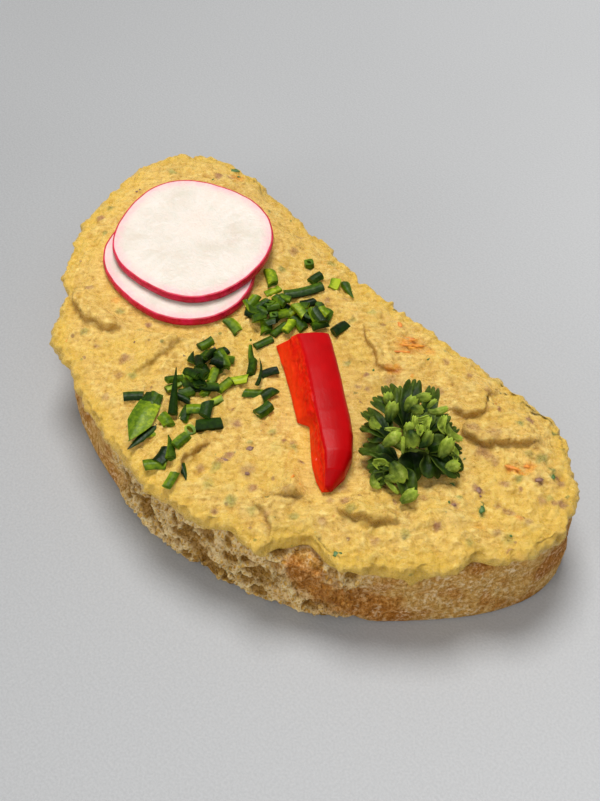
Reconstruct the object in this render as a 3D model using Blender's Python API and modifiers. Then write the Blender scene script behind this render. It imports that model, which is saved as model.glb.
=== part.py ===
"""An open vegetable sandwich: a slice of crusty loaf under a thick spread, with two radish
slices, a strip of red pepper, chopped chives and a sprig of curly parsley.

Metres, +Z up. The origin is under the middle of the slice, on the surface that it lies on.
+X runs along the slice to its broad end, and +Y points to the flat base of the loaf.
"""

import math

import bmesh
import bpy
import numpy as np
from mathutils import Matrix, Vector, noise

MM = 0.001
CLEARANCE = 0.3 * MM  # between two pieces that touch

# The slice of bread
SLICE_HEIGHT = 15.0 * MM
SLICE_EDGE = [  # mm, round the slice from its broad end: flat base, narrow end, curved crown
    (62.5, 11.2), (59.8, 19.3), (52.0, 25.9), (41.3, 28.9), (22.0, 29.0), (0.0, 28.9), (-20.0, 31.4),
    (-40.0, 33.6), (-54.2, 32.2), (-60.9, 25.0), (-61.4, 12.0), (-56.0, -2.3), (-44.9, -16.0),
    (-29.0, -26.9), (-11.1, -32.2), (7.0, -34.0), (25.2, -30.3), (41.2, -21.8), (53.8, -8.6), (60.6, 2.2),
]
SLICE_AROUND = 120
SLICE_WALL = [  # mm, how far inside the edge and how high, from the underside up
    (4.0, 0.0), (0.6, 0.0), (0.1, 0.7), (0.0, 3.2), (0.1, 7.2), (0.2, 10.2), (0.4, 12.8), (1.3, 14.7),
    (4.0, 15.0),
]
WALL_BUMPS = 0.7 * MM
WALL_BUMP_SIZE = 6.0 * MM
WALL_BUMP_LIFT = -0.3
PIT_COUNT = 26
PIT_DEPTH = 1.5 * MM
PIT_RADIUS = (1.6 * MM, 3.4 * MM)
PIT_HEIGHT = (1.5 * MM, 12.0 * MM)
PIT_STRETCH = (0.60, 0.83)  # share of the way round, where the crust is torn open

# The spread
SPREAD_FLOOR = SLICE_HEIGHT + CLEARANCE
SPREAD_RIM = 2.8 * MM
SPREAD_THICK = 4.4 * MM
SPREAD_SHOULDER = 8.0 * MM
SPREAD_ROUND = 1.1 * MM
RIM_ROLL = [(0.75, 0.28), (1.0, 0.62), (0.7, 0.93)]  # shares of that radius out and of the rim's height down
RIM_ROOT = 0.6 * MM  # how far the hanging rim's inner face slopes inwards
RIM_INSET = 0.4 * MM
RIM_CALM = 0.35  # share of the relief that is left at the rim
RIM_CALM_REACH = 3.0 * MM
SPREAD_AROUND = 96
SPREAD_RINGS = 12
EDGE_OUT = 0.3 * MM
EDGE_WAVE = 0.7 * MM
EDGE_WAVE_SIZE = 5.0 * MM
RIM_SPOTS = [  # mm: x, y, reach along the edge, how far out, how far it hangs
    (-34.0, -25.0, 4.4, 2.2, 1.6), (-42.5, -17.8, 3.0, -1.5, 0.0), (-52.0, -6.0, 6.0, 0.3, 0.4),
    (50.6, -12.8, 2.4, 0.6, 0.9), (35.6, -25.4, 5.2, -4.2, 0.0), (22.4, -31.4, 2.6, -1.5, 0.0),
    (29.6, -28.7, 1.5, 1.4, 0.2), (8.0, -34.0, 9.0, 0.4, 0.0), (56.0, -4.0, 3.4, -1.5, 0.0),
    (-59.0, 20.0, 9.0, 0.8, 0.6), (-48.0, 34.0, 6.0, 0.3, 0.4), (60.6, 17.0, 4.5, -1.4, 0.0),
    (45.6, 28.4, 2.6, 1.2, 0.3), (55.0, 23.6, 3.0, -0.9, 0.0),
]
LIPS = [  # mm: rise, reach on the high side, and a line with the high side on its left
    (1.9, 9.0, [(-43.0, -15.0), (-38.4, -17.6), (-33.5, -18.8), (-29.0, -18.0), (-24.0, -14.5)]),
    (1.9, 4.0, [(-14.3, -22.5), (-15.0, -16.0), (-16.3, -9.0), (-15.6, -4.5)]),
    (1.7, 3.5, [(9.5, -31.0), (7.4, -27.5), (7.2, -24.2), (8.0, -20.5)]),
    (2.1, 8.0, [(22.5, -22.0), (28.0, -17.4), (33.0, -14.9), (38.5, -12.8), (45.0, -7.8)]),
    (1.6, 7.0, [(31.0, 14.6), (36.4, 18.6), (34.2, 23.5), (34.6, 27.0)]),
    (1.9, 6.5, [(35.0, 17.0), (38.3, 13.2), (42.2, 15.3), (46.0, 19.4), (49.5, 24.0)]),
    (1.3, 5.5, [(4.6, 19.8), (11.2, 16.0), (16.1, 14.4), (20.0, 15.9)]),
    (1.3, 4.0, [(22.0, -25.2), (25.3, -24.4), (28.0, -25.2), (30.6, -27.6)]),
]
LIP_EDGE = 0.6 * MM
LIP_FADE = 0.22  # share of a lip's line over which it rises at each end
DENTS = [  # mm: x, y, radius, depth
    (48.6, -7.0, 2.6, 1.5), (-20.0, -20.5, 4.0, 0.7), (19.0, 6.0, 6.0, 0.5), (-2.0, 24.0, 5.0, 0.6),
]
WAVES = [(13.0, 0.62), (5.5, 0.55)]  # mm: size and height of the knife's uneven strokes
FAR_MOUND = (-46.0, 8.0, 22.0, 1.0)  # mm: x, y, radius, height

# What lies on the spread
VIEWER = math.radians(-43.0)  # heading that the radish slices lean to
RADISH_LEAN = math.radians(4.0)
RADISH_SEAT = 20.4 * MM
RADISH_THICK = 1.7 * MM
RADISH_AROUND = 48
RADISH_PROFILE = [  # shares of the radius and of the thickness, from the middle of the top to the underside's
    (0.0, 1.0), (0.55, 1.0), (0.97, 1.0), (1.0, 0.8), (1.0, 0.2), (0.97, 0.0), (0.55, 0.0), (0.0, 0.0),
]
RADISHES = {  # mm: x, y, radius, and how unevenly it was sliced, in share of the radius
    "radish_lower": (-30.5, 3.8, 15.6, ((2, 0.045, 1.57), (3, 0.035, 2.72), (5, 0.006, 1.0))),
    "radish_upper": (
        -32.3, 8.2, 16.04, ((2, 0.020, 1.35), (3, 0.010, -1.14), (4, 0.026, -2.71), (5, 0.008, -0.48))
    ),
}
SEAT_FLAT = 1.8 * MM  # how far a seat runs past what lies on it
SEAT_MARGIN = 3.0 * MM

PEPPER_LINE = [  # mm
    (0.3, 7.6), (5.4, 5.4), (10.6, 1.9), (15.4, -2.1), (20.0, -6.0), (24.4, -9.7), (29.6, -13.9),
]
PEPPER_KNOTS = [0.0, 0.12, 0.28, 0.44, 0.57, 0.60, 0.72, 0.84, 0.94, 1.0]  # shares of the line
PEPPER_FLESH = [4.6, 5.1, 4.9, 4.25, 3.6, 1.6, 1.6, 1.6, 1.2, 0.5]  # mm, sideways to the cut face's foot
PEPPER_RIDGE = [-1.5, -1.7, -1.5, -1.0, -0.6, -0.5, 0.0, 0.5, 0.3, 0.1]  # mm, sideways to the skin's edge
PEPPER_SKIN = [4.5, 4.2, 4.4, 4.9, 5.4, 5.5, 5.65, 5.2, 3.6, 1.3]  # mm, sideways to the skin's far shoulder
PEPPER_HEIGHT = [5.0, 5.1, 5.2, 5.2, 5.1, 5.1, 5.0, 4.7, 3.7, 1.6]  # mm
PEPPER_SECTION = [  # shares of the flesh's, the ridge's and the skin's places, and of the height
    (-1.0, 0.0, 0.0, 0.0), (0.0, 0.0, 0.0, 0.0), (0.0, 0.0, 0.92, 0.0), (0.0, 0.0, 1.03, 0.30),
    (0.0, 0.0, 1.02, 0.62), (0.0, 0.0, 0.90, 0.85), (0.0, 0.35, 0.62, 0.96), (0.0, 0.72, 0.28, 1.0),
    (0.0, 1.0, 0.0, 0.98), (-0.14, 0.86, 0.0, 0.84), (-0.58, 0.42, 0.0, 0.42), (-1.0, 0.0, 0.0, 0.10),
]
PEPPER_SKEW = (0.26, 0.35)  # how far the blunt end's cut runs back, for each mm sideways and up
PEPPER_STATIONS = 24
PEPPER_SEAT = 19.4 * MM

PARSLEY_FOOT = (34.5, 1.7)  # mm
PARSLEY_SEAT = 19.3 * MM
PARSLEY_BED = 6.0 * MM  # radius of the flat that the sprig stands on
LEAF_THICK = 0.5 * MM
LEAF_ROOT = 0.30  # width of a leaf's root over its own
LEAF_RISE = 0.16  # height of its arch over its length
LEAF_CUP = 0.30
LEAF_CELLS = (2, 2)  # along and across
LEAF_CLEAR = 1.3 * MM  # from the spread up to a leaf's or a pod's middle
FOOT_RADIUS = 1.3 * MM
STALK_RADIUS = 0.75 * MM
POD_STALK_RADIUS = 0.4 * MM
STALK_TAPER = 0.7
STALK_PAST = 0.1  # share of its run that a stalk reaches past both of its ends
FORKS = [  # the stalks' forks: x, y, z in mm, and the fork that each grows from
    (34.5, 1.7, 19.6, 0), (34.0, 2.2, 21.8, 0), (31.0, 4.6, 23.0, 1), (34.6, 5.6, 23.6, 1),
    (37.2, 3.8, 22.6, 1), (35.4, -1.4, 21.6, 1), (31.2, 0.8, 22.8, 1),
]
LEAVES = [  # fork that it grows from, x, y, z of its end and its width in mm
    (2, 22.7, 7.8, 25.0, 3.9), (2, 25.2, 8.9, 26.0, 3.5), (2, 26.1, 11.8, 26.4, 4.1),
    (3, 29.0, 13.9, 25.0, 3.8), (2, 22.8, 4.6, 24.0, 4.0), (6, 23.4, 2.0, 23.2, 3.4),
    (6, 25.6, -0.2, 22.4, 3.0), (3, 35.0, 11.2, 25.0, 4.4), (4, 40.3, 9.3, 21.4, 4.6),
    (4, 43.8, 5.1, 20.8, 5.2), (5, 28.4, -3.4, 21.6, 3.6), (5, 31.9, -5.8, 21.6, 4.4),
    (5, 35.0, -7.2, 21.0, 4.0), (5, 41.3, -4.8, 21.4, 4.6), (3, 31.6, 9.6, 25.4, 3.8),
    (4, 38.6, 7.4, 24.2, 3.8), (1, 39.6, -0.2, 20.6, 5.0),
]
PODS = [  # curled leaflets: x, y, z, length and width in mm, and turn in the view in degrees
    (25.9, 5.5, 25.4, 2.8, 2.0, 100), (28.0, 3.8, 25.3, 3.4, 2.2, 75), (29.9, 8.3, 26.3, 3.4, 2.2, 40),
    (33.5, 4.2, 26.9, 2.8, 2.2, 30), (35.5, 5.0, 26.9, 2.8, 1.6, 95), (33.4, 9.9, 26.1, 3.2, 1.5, 8),
    (36.9, 8.2, 25.9, 3.0, 1.7, 95), (40.1, 5.2, 24.4, 3.6, 2.2, 60), (27.2, 0.4, 24.6, 2.4, 1.6, -60),
    (32.3, -0.6, 25.4, 3.4, 2.0, 35), (34.9, 1.7, 26.0, 2.8, 2.4, -80), (33.5, -4.5, 23.5, 2.6, 2.0, -20),
    (37.0, -3.8, 23.8, 3.6, 2.8, -60), (41.3, -5.4, 22.3, 3.0, 2.0, 35),
]
POD_THICK = 0.42  # half its thickness over its width
POD_SIDES = 6
POD_RINGS = 4
STALK_SIDES = 5
POD_STALK_SIDES = 3
SIDEWAYS = (0.682, 0.731, 0.0)  # to a viewer's right
UPWARDS = (-0.560, 0.522, 0.643)
TOWARDS = (0.470, -0.438, 0.766)

CHIVE_SIDES = 6
CHIVE_SUNK = 0.30  # share of a piece's girth that lies in the spread
CHIVE_LENGTH = (2.7, 4.1)  # mm, of a common cut
CHIVE_GIRTH = (1.8, 2.7)  # mm
CHIVE_CUTS = [  # x, y in mm and heading in degrees: the drift by the radish, the drift to the crown, its end
    (-15.5, 14.5, 150), (-13, 12.5, 80), (-9.5, 21, 90), (-5.5, 15, 65), (-6, 23, 120), (-0.5, 15.5, 115),
    (3.5, 15, 90), (-11, 0.5, 170), (-12, 6.5, 85), (-9.5, 5, 55), (-7, 11.5, 190), (-4.5, 6.5, 95),
    (-3, 10.5, 170), (-6.5, 5, 140), (-4, 2, 80), (-0.5, -4, 130), (2.5, -2.5, 70), (0.5, -8, 60),
    (4.5, -8, 45), (6.5, -6.5, 90), (9, -9.5, 90),
    (-11, -6.5, 85), (-8.5, -9.5, 90), (-8, -6, 70), (-4.5, -8, 165), (-6, -11.5, 170), (-5.5, -15, 45),
    (-7, -13.5, 50), (-0.5, -11, 95), (0.5, -18.5, 45), (-10, -25, 50), (-6.5, -23, 120), (-1, -24.5, 170),
    (-0.5, -20.5, 120), (1, -15, 85), (2, -17.5, 130),
    (4.5, -25.5, 95), (4.5, -29.5, 110), (4.5, -31.5, 50), (9, -31.5, 115),
]
CHIVE_LONG_CUTS = [  # x, y in mm; heading in degrees; length and girth in mm
    (-8, 16.5, 65, 8.0, 2.5), (4.5, -19, 55, 4.8, 2.5), (-2.5, -12.5, 120, 6.6, 2.0),
]
CHIVE_RINGS = [(-13.5, 23), (-9.5, 8.5), (-7, 7.5), (-2.5, 12.5), (3.5, -22.5)]  # mm, on their cut ends
CHIVE_RING_HEIGHT = 0.75  # in girths
CHIVE_BLADES = [  # split open, with a point: x, y in mm; heading of the point in degrees; length, girth in mm
    (-3.5, 24.5, -20, 4.6, 2.1), (-4.5, -1, 140, 9.0, 1.5), (2, -4, 135, 8.0, 0.9), (-10, -11, 130, 2.8, 1.7),
    (-3.5, -28, -70, 8.4, 2.6), (-1.5, -28.5, -105, 6.4, 1.8), (-4.5, -19.5, 135, 9.4, 2.0),
    (4, -27.5, 145, 5.4, 2.2), (9.5, -29, -25, 3.4, 1.7),
]
BLADE_TIP = 0.15  # share of the girth

COLOURS = {  # base colour, roughness
    "bread": ((0.62, 0.40, 0.20, 1.0), 0.85), "spread": ((0.78, 0.52, 0.14, 1.0), 0.55),
    "radish_lower": ((0.88, 0.78, 0.70, 1.0), 0.35), "radish_upper": ((0.90, 0.82, 0.75, 1.0), 0.35),
    "pepper_strip": ((0.62, 0.01, 0.01, 1.0), 0.22), "parsley": ((0.06, 0.16, 0.01, 1.0), 0.5),
}


def ease(share):
    """0 below 0, 1 above 1, and a smooth step between."""
    share = np.clip(share, 0.0, 1.0)
    return share * share * (3.0 - 2.0 * share)


def smooth_line(points, count, closed=False):
    """count points, evenly spaced, on a smooth line through the points, which are in mm."""
    points = np.array(points, float) * MM
    if closed:
        points = np.concatenate([points[-1:], points, points[:2]])
    else:
        points = np.concatenate([2 * points[:1] - points[1:2], points, 2 * points[-1:] - points[-2:-1]])
    share = np.linspace(0.0, 1.0, 30, endpoint=False)[:, None]
    runs = []
    for a, b, c, d in zip(points, points[1:], points[2:], points[3:]):
        cubic = -a + 3 * b - 3 * c + d
        runs.append(b + 0.5 * share * (c - a + share * (2 * a - 5 * b + 4 * c - d + share * cubic)))
    line = np.concatenate([*runs, points[-2:-1]])
    travelled = np.concatenate([[0.0], np.linalg.norm(np.diff(line, axis=0), axis=1).cumsum()])
    wanted = np.linspace(0.0, travelled[-1], count, endpoint=not closed)
    return np.stack([np.interp(wanted, travelled, line[:, axis]) for axis in range(2)], axis=1)


def outward(ring):
    """Unit normals that point out of a closed ring, which runs anticlockwise."""
    along = np.roll(ring, -1, axis=0) - np.roll(ring, 1, axis=0)
    normal = np.stack([along[:, 1], -along[:, 0]], axis=1)
    return normal / np.linalg.norm(normal, axis=1, keepdims=True)


def noise_at(x, y, z, size):
    """Smooth noise from about -1 to 1, whose lumps have this size."""
    points = np.stack(np.broadcast_arrays(x, y, z), axis=-1)
    return np.array([noise.noise(Vector(point) / size) for point in points])


def spots_along(ring):
    """How far the spread's edge stands out from the slice's, and how far it hangs, round the ring."""
    out = EDGE_OUT + EDGE_WAVE * noise_at(ring[:, 0], ring[:, 1], 0.0, EDGE_WAVE_SIZE)
    hang = np.zeros(len(ring))
    for x, y, reach, spot_out, spot_hang in RIM_SPOTS:
        away = np.hypot(ring[:, 0] - x * MM, ring[:, 1] - y * MM)
        share = np.exp(-((away / (reach * MM)) ** 2))
        out += spot_out * MM * share
        hang += spot_hang * MM * share
    return out, hang


def spread_edge(count):
    """The slice's edge, the spread's own edge over it, its normals, and how far it hangs."""
    ring = smooth_line(SLICE_EDGE, count, closed=True)
    normal = outward(ring)
    out, hang = spots_along(ring)
    return ring, normal, out, hang


def lip_height(x, y, rise, reach, line):
    """A fold of the spread: a steep step along the line, which fades away on the high side."""
    line = smooth_line(line, 40)
    along = np.gradient(line, axis=0)
    away = np.hypot(x[:, None] - line[:, 0], y[:, None] - line[:, 1])
    nearest = away.argmin(axis=1)
    dx, dy = x - line[nearest, 0], y - line[nearest, 1]
    side = along[nearest, 0] * dy - along[nearest, 1] * dx
    signed = np.sign(side) * away.min(axis=1)
    share = nearest / (len(line) - 1)
    ends = ease(share / LIP_FADE) * ease((1.0 - share) / LIP_FADE)
    step = 1.0 / (1.0 + np.exp(-np.clip(signed / LIP_EDGE, -30, 30) * 2.0))
    return rise * MM * ends * step * np.exp(-np.maximum(signed, 0.0) / (reach * MM))


def lean_plane(x, y, x0, y0, height):
    """The height of a plane through (x0, y0, height) that leans towards the viewer's heading."""
    towards = (x - x0) * math.cos(VIEWER) + (y - y0) * math.sin(VIEWER)
    return height - towards * math.tan(RADISH_LEAN)


def pepper_section(share):
    """Middle, sideways direction, and flesh, ridge, skin and height sizes, along the pepper strip."""
    line = smooth_line(PEPPER_LINE, 60)
    at = share * (len(line) - 1)
    index = np.arange(len(line))
    middle = np.stack([np.interp(at, index, line[:, axis]) for axis in range(2)], axis=-1)
    along = np.gradient(line, axis=0)
    along = np.stack([np.interp(at, index, along[:, axis]) for axis in range(2)], axis=-1)
    along /= np.linalg.norm(along, axis=-1, keepdims=True)
    side = np.stack([-along[..., 1], along[..., 0]], axis=-1)
    lists = (PEPPER_FLESH, PEPPER_RIDGE, PEPPER_SKIN, PEPPER_HEIGHT)
    return middle, side, *[np.interp(share, PEPPER_KNOTS, sizes) * MM for sizes in lists]


def seats(x, y, height):
    """Levels the spread under the radish slices, the pepper strip and the parsley's foot."""
    x0, y0, radius, _ = RADISHES["radish_lower"]
    away = np.hypot(x - x0 * MM, y - y0 * MM) - radius * MM
    plane = lean_plane(x, y, x0 * MM, y0 * MM, RADISH_SEAT)
    share = ease(1.0 - (away - SEAT_FLAT) / SEAT_MARGIN)
    height = height + (plane - height) * share
    middle, side, flesh, _, skin, _ = pepper_section(np.linspace(0.0, 1.0, 40))
    middle = middle + side * ((skin - flesh) / 2)[:, None]
    away = np.hypot(x[:, None] - middle[:, 0], y[:, None] - middle[:, 1]) - (flesh + skin) / 2
    share = ease(1.0 - (away.min(axis=1) - SEAT_FLAT) / SEAT_MARGIN)
    height = height + (PEPPER_SEAT - height) * share
    away = np.hypot(x - PARSLEY_FOOT[0] * MM, y - PARSLEY_FOOT[1] * MM)
    share = ease(1.0 - (away - PARSLEY_BED) / SEAT_MARGIN)
    return height + (PARSLEY_SEAT - height) * share


def spread_top(x, y):
    """Height of the spread's upper surface over the point x, y, for arrays of points."""
    ring, normal, out, _ = spread_edge(360)
    edge = ring + normal * out[:, None]
    gap = np.hypot(x[:, None] - edge[:, 0], y[:, None] - edge[:, 1]).min(axis=1)
    height = SPREAD_FLOOR + SPREAD_RIM + (SPREAD_THICK - SPREAD_RIM) * ease(gap / SPREAD_SHOULDER)
    mound_x, mound_y, mound_radius, mound_height = (value * MM for value in FAR_MOUND)
    mound = np.exp(-(((x - mound_x) ** 2 + (y - mound_y) ** 2) / mound_radius**2))
    rough = mound_height * mound
    for size, wave in WAVES:
        rough = rough + wave * MM * noise_at(x, y, 0.0, size * MM)
    for rise, reach, line in LIPS:
        rough = rough + lip_height(x, y, rise, reach, line)
    for dent_x, dent_y, radius, depth in DENTS:
        away = np.hypot(x - dent_x * MM, y - dent_y * MM) / (radius * MM)
        rough = rough - depth * MM * np.exp(-(away**2))
    height = height + rough * (RIM_CALM + (1.0 - RIM_CALM) * ease(gap / RIM_CALM_REACH))
    return seats(x, y, height)


def material_for(name):
    colour, roughness = COLOURS[name]
    material = bpy.data.materials.new(name)
    material.use_nodes = True
    shader = material.node_tree.nodes["Principled BSDF"]
    shader.inputs["Base Color"].default_value = colour
    shader.inputs["Roughness"].default_value = roughness
    material.diffuse_color = colour
    return material


def object_from(form, name, collection):
    """A named object from a bmesh, with faces pointing out."""
    bmesh.ops.recalc_face_normals(form, faces=form.faces)
    if form.calc_volume(signed=True) < 0.0:
        bmesh.ops.reverse_faces(form, faces=form.faces)
    mesh = bpy.data.meshes.new(name)
    form.to_mesh(mesh)
    form.free()
    item = bpy.data.objects.new(name, mesh)
    collection.objects.link(item)
    return item


def shaped_ball(name, around, across, place, collection):
    """A closed skin: a sphere primitive whose parallels become the sections that place gives.
    place takes the steps round and the steps down from the top pole, and returns points."""
    form = bmesh.new()
    bmesh.ops.create_uvsphere(form, u_segments=around, v_segments=across, radius=1.0)
    co = np.array([vert.co for vert in form.verts])
    turn = np.rint(np.arctan2(co[:, 1], co[:, 0]) / math.tau * around).astype(int) % around
    down = np.rint(np.arccos(np.clip(co[:, 2], -1.0, 1.0)) / math.pi * across).astype(int)
    for vert, point in zip(form.verts, place(turn, down)):
        vert.co = point
    return object_from(form, name, collection)


def pits():
    """The torn crumb's open pores: place round the slice, height, radius and depth, from a seeded draw."""
    draw = np.random.default_rng(7)
    share = draw.uniform(*PIT_STRETCH, PIT_COUNT)
    height = draw.uniform(*PIT_HEIGHT, PIT_COUNT)
    radius = draw.uniform(*PIT_RADIUS, PIT_COUNT)
    return share, height, radius, PIT_DEPTH * draw.uniform(0.6, 1.0, PIT_COUNT)


def make_bread(collection):
    ring = smooth_line(SLICE_EDGE, SLICE_AROUND, closed=True)
    normal = outward(ring)
    middle = ring.mean(axis=0)
    profile = np.array(SLICE_WALL[::-1]) * MM
    length = np.linalg.norm(np.diff(ring, axis=0), axis=1).sum()

    def place(turn, down):
        inset, height = profile[np.clip(down - 1, 0, len(profile) - 1)].T
        flat = ring[turn] - normal[turn] * inset[:, None]
        share = np.sin(np.clip(height / SLICE_HEIGHT, 0.0, 1.0) * math.pi)  # no relief at the rims
        relief = WALL_BUMPS * (noise_at(flat[:, 0], flat[:, 1], height, WALL_BUMP_SIZE) + WALL_BUMP_LIFT)
        for pit_share, pit_height, radius, depth in zip(*pits()):
            round_way = (turn / SLICE_AROUND - pit_share) * length
            away = np.hypot(round_way, height - pit_height) / radius
            relief = relief - depth * np.exp(-(away**2))
        flat = flat + normal[turn] * (relief * share)[:, None]
        pole = (down == 0) | (down == len(profile) + 1)
        flat[pole] = middle
        height[down == 0] = SLICE_HEIGHT
        height[down == len(profile) + 1] = 0.0
        return np.column_stack([flat, height])

    return shaped_ball("bread", SLICE_AROUND, len(profile) + 1, place, collection)


def make_spread(collection):
    """The bare layer, before the chives are joined to it."""
    ring, normal, out, hang = spread_edge(SPREAD_AROUND)
    centre = ring.mean(axis=0)
    foot = SPREAD_FLOOR - hang
    inside = np.minimum(out - 1.6 * SPREAD_ROUND, RIM_INSET)  # the hanging rim's inner face

    def place(turn, down):
        reach = out[turn] - SPREAD_ROUND
        scale = np.clip(down / SPREAD_RINGS, 0.0, 1.0)[:, None]
        flat = centre + (ring[turn] + normal[turn] * reach[:, None] - centre) * scale
        height = spread_top(flat[:, 0], flat[:, 1])
        brink = height - foot[turn]
        for extra, (out_share, drop) in enumerate(RIM_ROLL, start=1):
            chosen = down == SPREAD_RINGS + extra
            flat[chosen] += normal[turn[chosen]] * (out_share * SPREAD_ROUND)
            height[chosen] -= drop * brink[chosen]
        tip, root, last = (SPREAD_RINGS + len(RIM_ROLL) + step for step in (1, 2, 3))
        chosen = (down == tip) | (down == root)
        back = np.where(down == root, RIM_ROOT, 0.0)
        flat[chosen] = (ring[turn] + normal[turn] * (inside[turn] - back)[:, None])[chosen]
        height[down == tip] = foot[turn[down == tip]]
        height[down == root] = SPREAD_FLOOR
        pole = down == last
        flat[pole] = centre
        height[pole] = SPREAD_FLOOR
        return np.column_stack([flat, height])

    return shaped_ball("spread", SPREAD_AROUND, SPREAD_RINGS + len(RIM_ROLL) + 3, place, collection)


def make_radish(name, height, collection):
    """A thin, slightly uneven round slice, which leans with the seat."""
    x0, y0, radius, uneven = RADISHES[name]
    profile = np.array(RADISH_PROFILE)

    def place(turn, down):
        reach, level = profile[down].T
        angle = turn * math.tau / RADISH_AROUND
        wobble = sum(share * np.sin(times * angle + phase) for times, share, phase in uneven)
        radial = radius * MM * reach * (1.0 + wobble)
        x = x0 * MM + radial * np.cos(angle)
        y = y0 * MM + radial * np.sin(angle)
        low_x, low_y, _, _ = RADISHES["radish_lower"]
        plane = lean_plane(x, y, low_x * MM, low_y * MM, height)
        return np.column_stack([x, y, plane + level * RADISH_THICK])

    return shaped_ball(name, RADISH_AROUND, len(profile) - 1, place, collection)


def make_pepper(collection):
    """A strip of pepper wall that lies on its side: skin on top and behind, cut flesh in front."""
    by_flesh, by_ridge, by_skin, up = np.array(PEPPER_SECTION).T
    share = np.broadcast_to(np.linspace(0.0, 1.0, PEPPER_STATIONS)[:, None], (PEPPER_STATIONS, len(up)))
    _, _, flesh, ridge, skin, height = pepper_section(share)
    wide = by_flesh * flesh + by_ridge * ridge + by_skin * skin
    tall = up * height
    back = PEPPER_SKEW[0] * (wide + flesh) + PEPPER_SKEW[1] * tall
    line = smooth_line(PEPPER_LINE, 60)
    length = np.linalg.norm(np.diff(line, axis=0), axis=1).sum()
    middle, side, *_ = pepper_section(share + (1.0 - share) ** 2 * back / length)
    points = np.dstack([middle + side * wide[..., None], PEPPER_SEAT + CLEARANCE + tall])

    def place(turn, down):
        placed = points[np.clip(down - 1, 0, PEPPER_STATIONS - 1), turn]
        placed[down == 0] = points[0].mean(axis=0)
        placed[down == PEPPER_STATIONS + 1] = points[-1].mean(axis=0)
        return placed

    return shaped_ball("pepper_strip", len(up), PEPPER_STATIONS + 1, place, collection)


def island_of(start):
    """Every vertex that edges join to this one."""
    found, waiting = {start}, [start]
    while waiting:
        for edge in waiting.pop().link_edges:
            for vert in edge.verts:
                if vert not in found:
                    found.add(vert)
                    waiting.append(vert)
    return found


def fill_cavities(mesh):
    """Removes every island of the mesh but the largest, which is its outer skin."""
    form = bmesh.new()
    form.from_mesh(mesh)
    left, islands = set(form.verts), []
    while left:
        islands.append(island_of(next(iter(left))))
        left -= islands[-1]
    for island in sorted(islands, key=len)[:-1]:
        bmesh.ops.delete(form, geom=list(island), context="VERTS")
    form.to_mesh(mesh)
    form.free()


def unite(base, pieces):
    """Joins the pieces of a collection to the base in one union, and removes them."""
    union = base.modifiers.new("union", "BOOLEAN")
    union.operation = "UNION"
    union.operand_type = "COLLECTION"
    union.collection = pieces
    union.solver = "MANIFOLD"
    graph = bpy.context.evaluated_depsgraph_get()
    joined = bpy.data.meshes.new_from_object(base.evaluated_get(graph))
    base.modifiers.clear()
    base.data = joined
    fill_cavities(joined)
    for piece in list(pieces.objects):
        bpy.data.objects.remove(piece)
    bpy.data.collections.remove(pieces)
    return base


def chive_piece(name, x, y, heading, length, girth, tip, collection):
    """One cut of chive as a short prism, in mm, sunk a little in the spread. Its heading is None
    if it stands, and tip is its far end's width as a share of the girth."""
    length, girth = length * MM, girth * MM
    form = bmesh.new()
    bmesh.ops.create_cone(
        form, cap_ends=True, segments=CHIVE_SIDES, radius1=girth / 2, radius2=girth / 2 * tip, depth=length
    )
    if heading is not None:
        bmesh.ops.rotate(form, verts=form.verts, matrix=Matrix.Rotation(math.pi / 2, 3, "Y"))
        bmesh.ops.rotate(form, verts=form.verts, matrix=Matrix.Rotation(math.radians(heading), 3, "Z"))
    level = spread_top(np.array([x * MM]), np.array([y * MM]))[0]
    bmesh.ops.translate(form, verts=form.verts, vec=(x * MM, y * MM, level + (0.5 - CHIVE_SUNK) * girth))
    object_from(form, name, collection)


def make_chives(pieces):
    draw = np.random.default_rng(5)
    for index, (x, y, heading) in enumerate(CHIVE_CUTS):
        length, girth = draw.uniform(*CHIVE_LENGTH), draw.uniform(*CHIVE_GIRTH)
        chive_piece(f"cut_{index}", x, y, heading, length, girth, 1.0, pieces)
    for index, (x, y, heading, length, girth) in enumerate(CHIVE_LONG_CUTS):
        chive_piece(f"long_cut_{index}", x, y, heading, length, girth, 1.0, pieces)
    for index, (x, y) in enumerate(CHIVE_RINGS):
        girth = draw.uniform(*CHIVE_GIRTH)
        chive_piece(f"ring_{index}", x, y, None, CHIVE_RING_HEIGHT * girth, girth, 1.0, pieces)
    for index, (x, y, heading, length, girth) in enumerate(CHIVE_BLADES):
        chive_piece(f"blade_{index}", x, y, heading, length, girth, BLADE_TIP, pieces)


def clear_of_spread(x, y, z):
    """A point in mm as a vector in metres, lifted where the spread is too near under it."""
    level = spread_top(np.array([x * MM]), np.array([y * MM]))[0]
    return Vector((x * MM, y * MM, max(z * MM, level + LEAF_CLEAR)))


def make_leaf(name, root, tip, width, pieces):
    """A wedge of leaf from a fork to its broad end: an arched sheet, thickened."""
    form = bmesh.new()
    bmesh.ops.create_grid(form, x_segments=LEAF_CELLS[0], y_segments=LEAF_CELLS[1], size=1.0)
    run = tip - root
    side = Vector((0.0, 0.0, 1.0)).cross(run).normalized()
    over = run.cross(side).normalized()
    for vert in form.verts:
        along, across = (vert.co.x + 1.0) / 2, vert.co.y
        half = width / 2 * (LEAF_ROOT + (1.0 - LEAF_ROOT) * ease(2.0 * along))
        rise = LEAF_RISE * run.length * math.sin(math.pi * along) + LEAF_CUP * half * across**2
        vert.co = root + run * along + side * half * across + over * rise
    bmesh.ops.triangulate(form, faces=form.faces)
    leaf = object_from(form, name, pieces)
    thick = leaf.modifiers.new("thick", "SOLIDIFY")
    thick.thickness = LEAF_THICK
    thick.offset = 0.0


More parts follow.
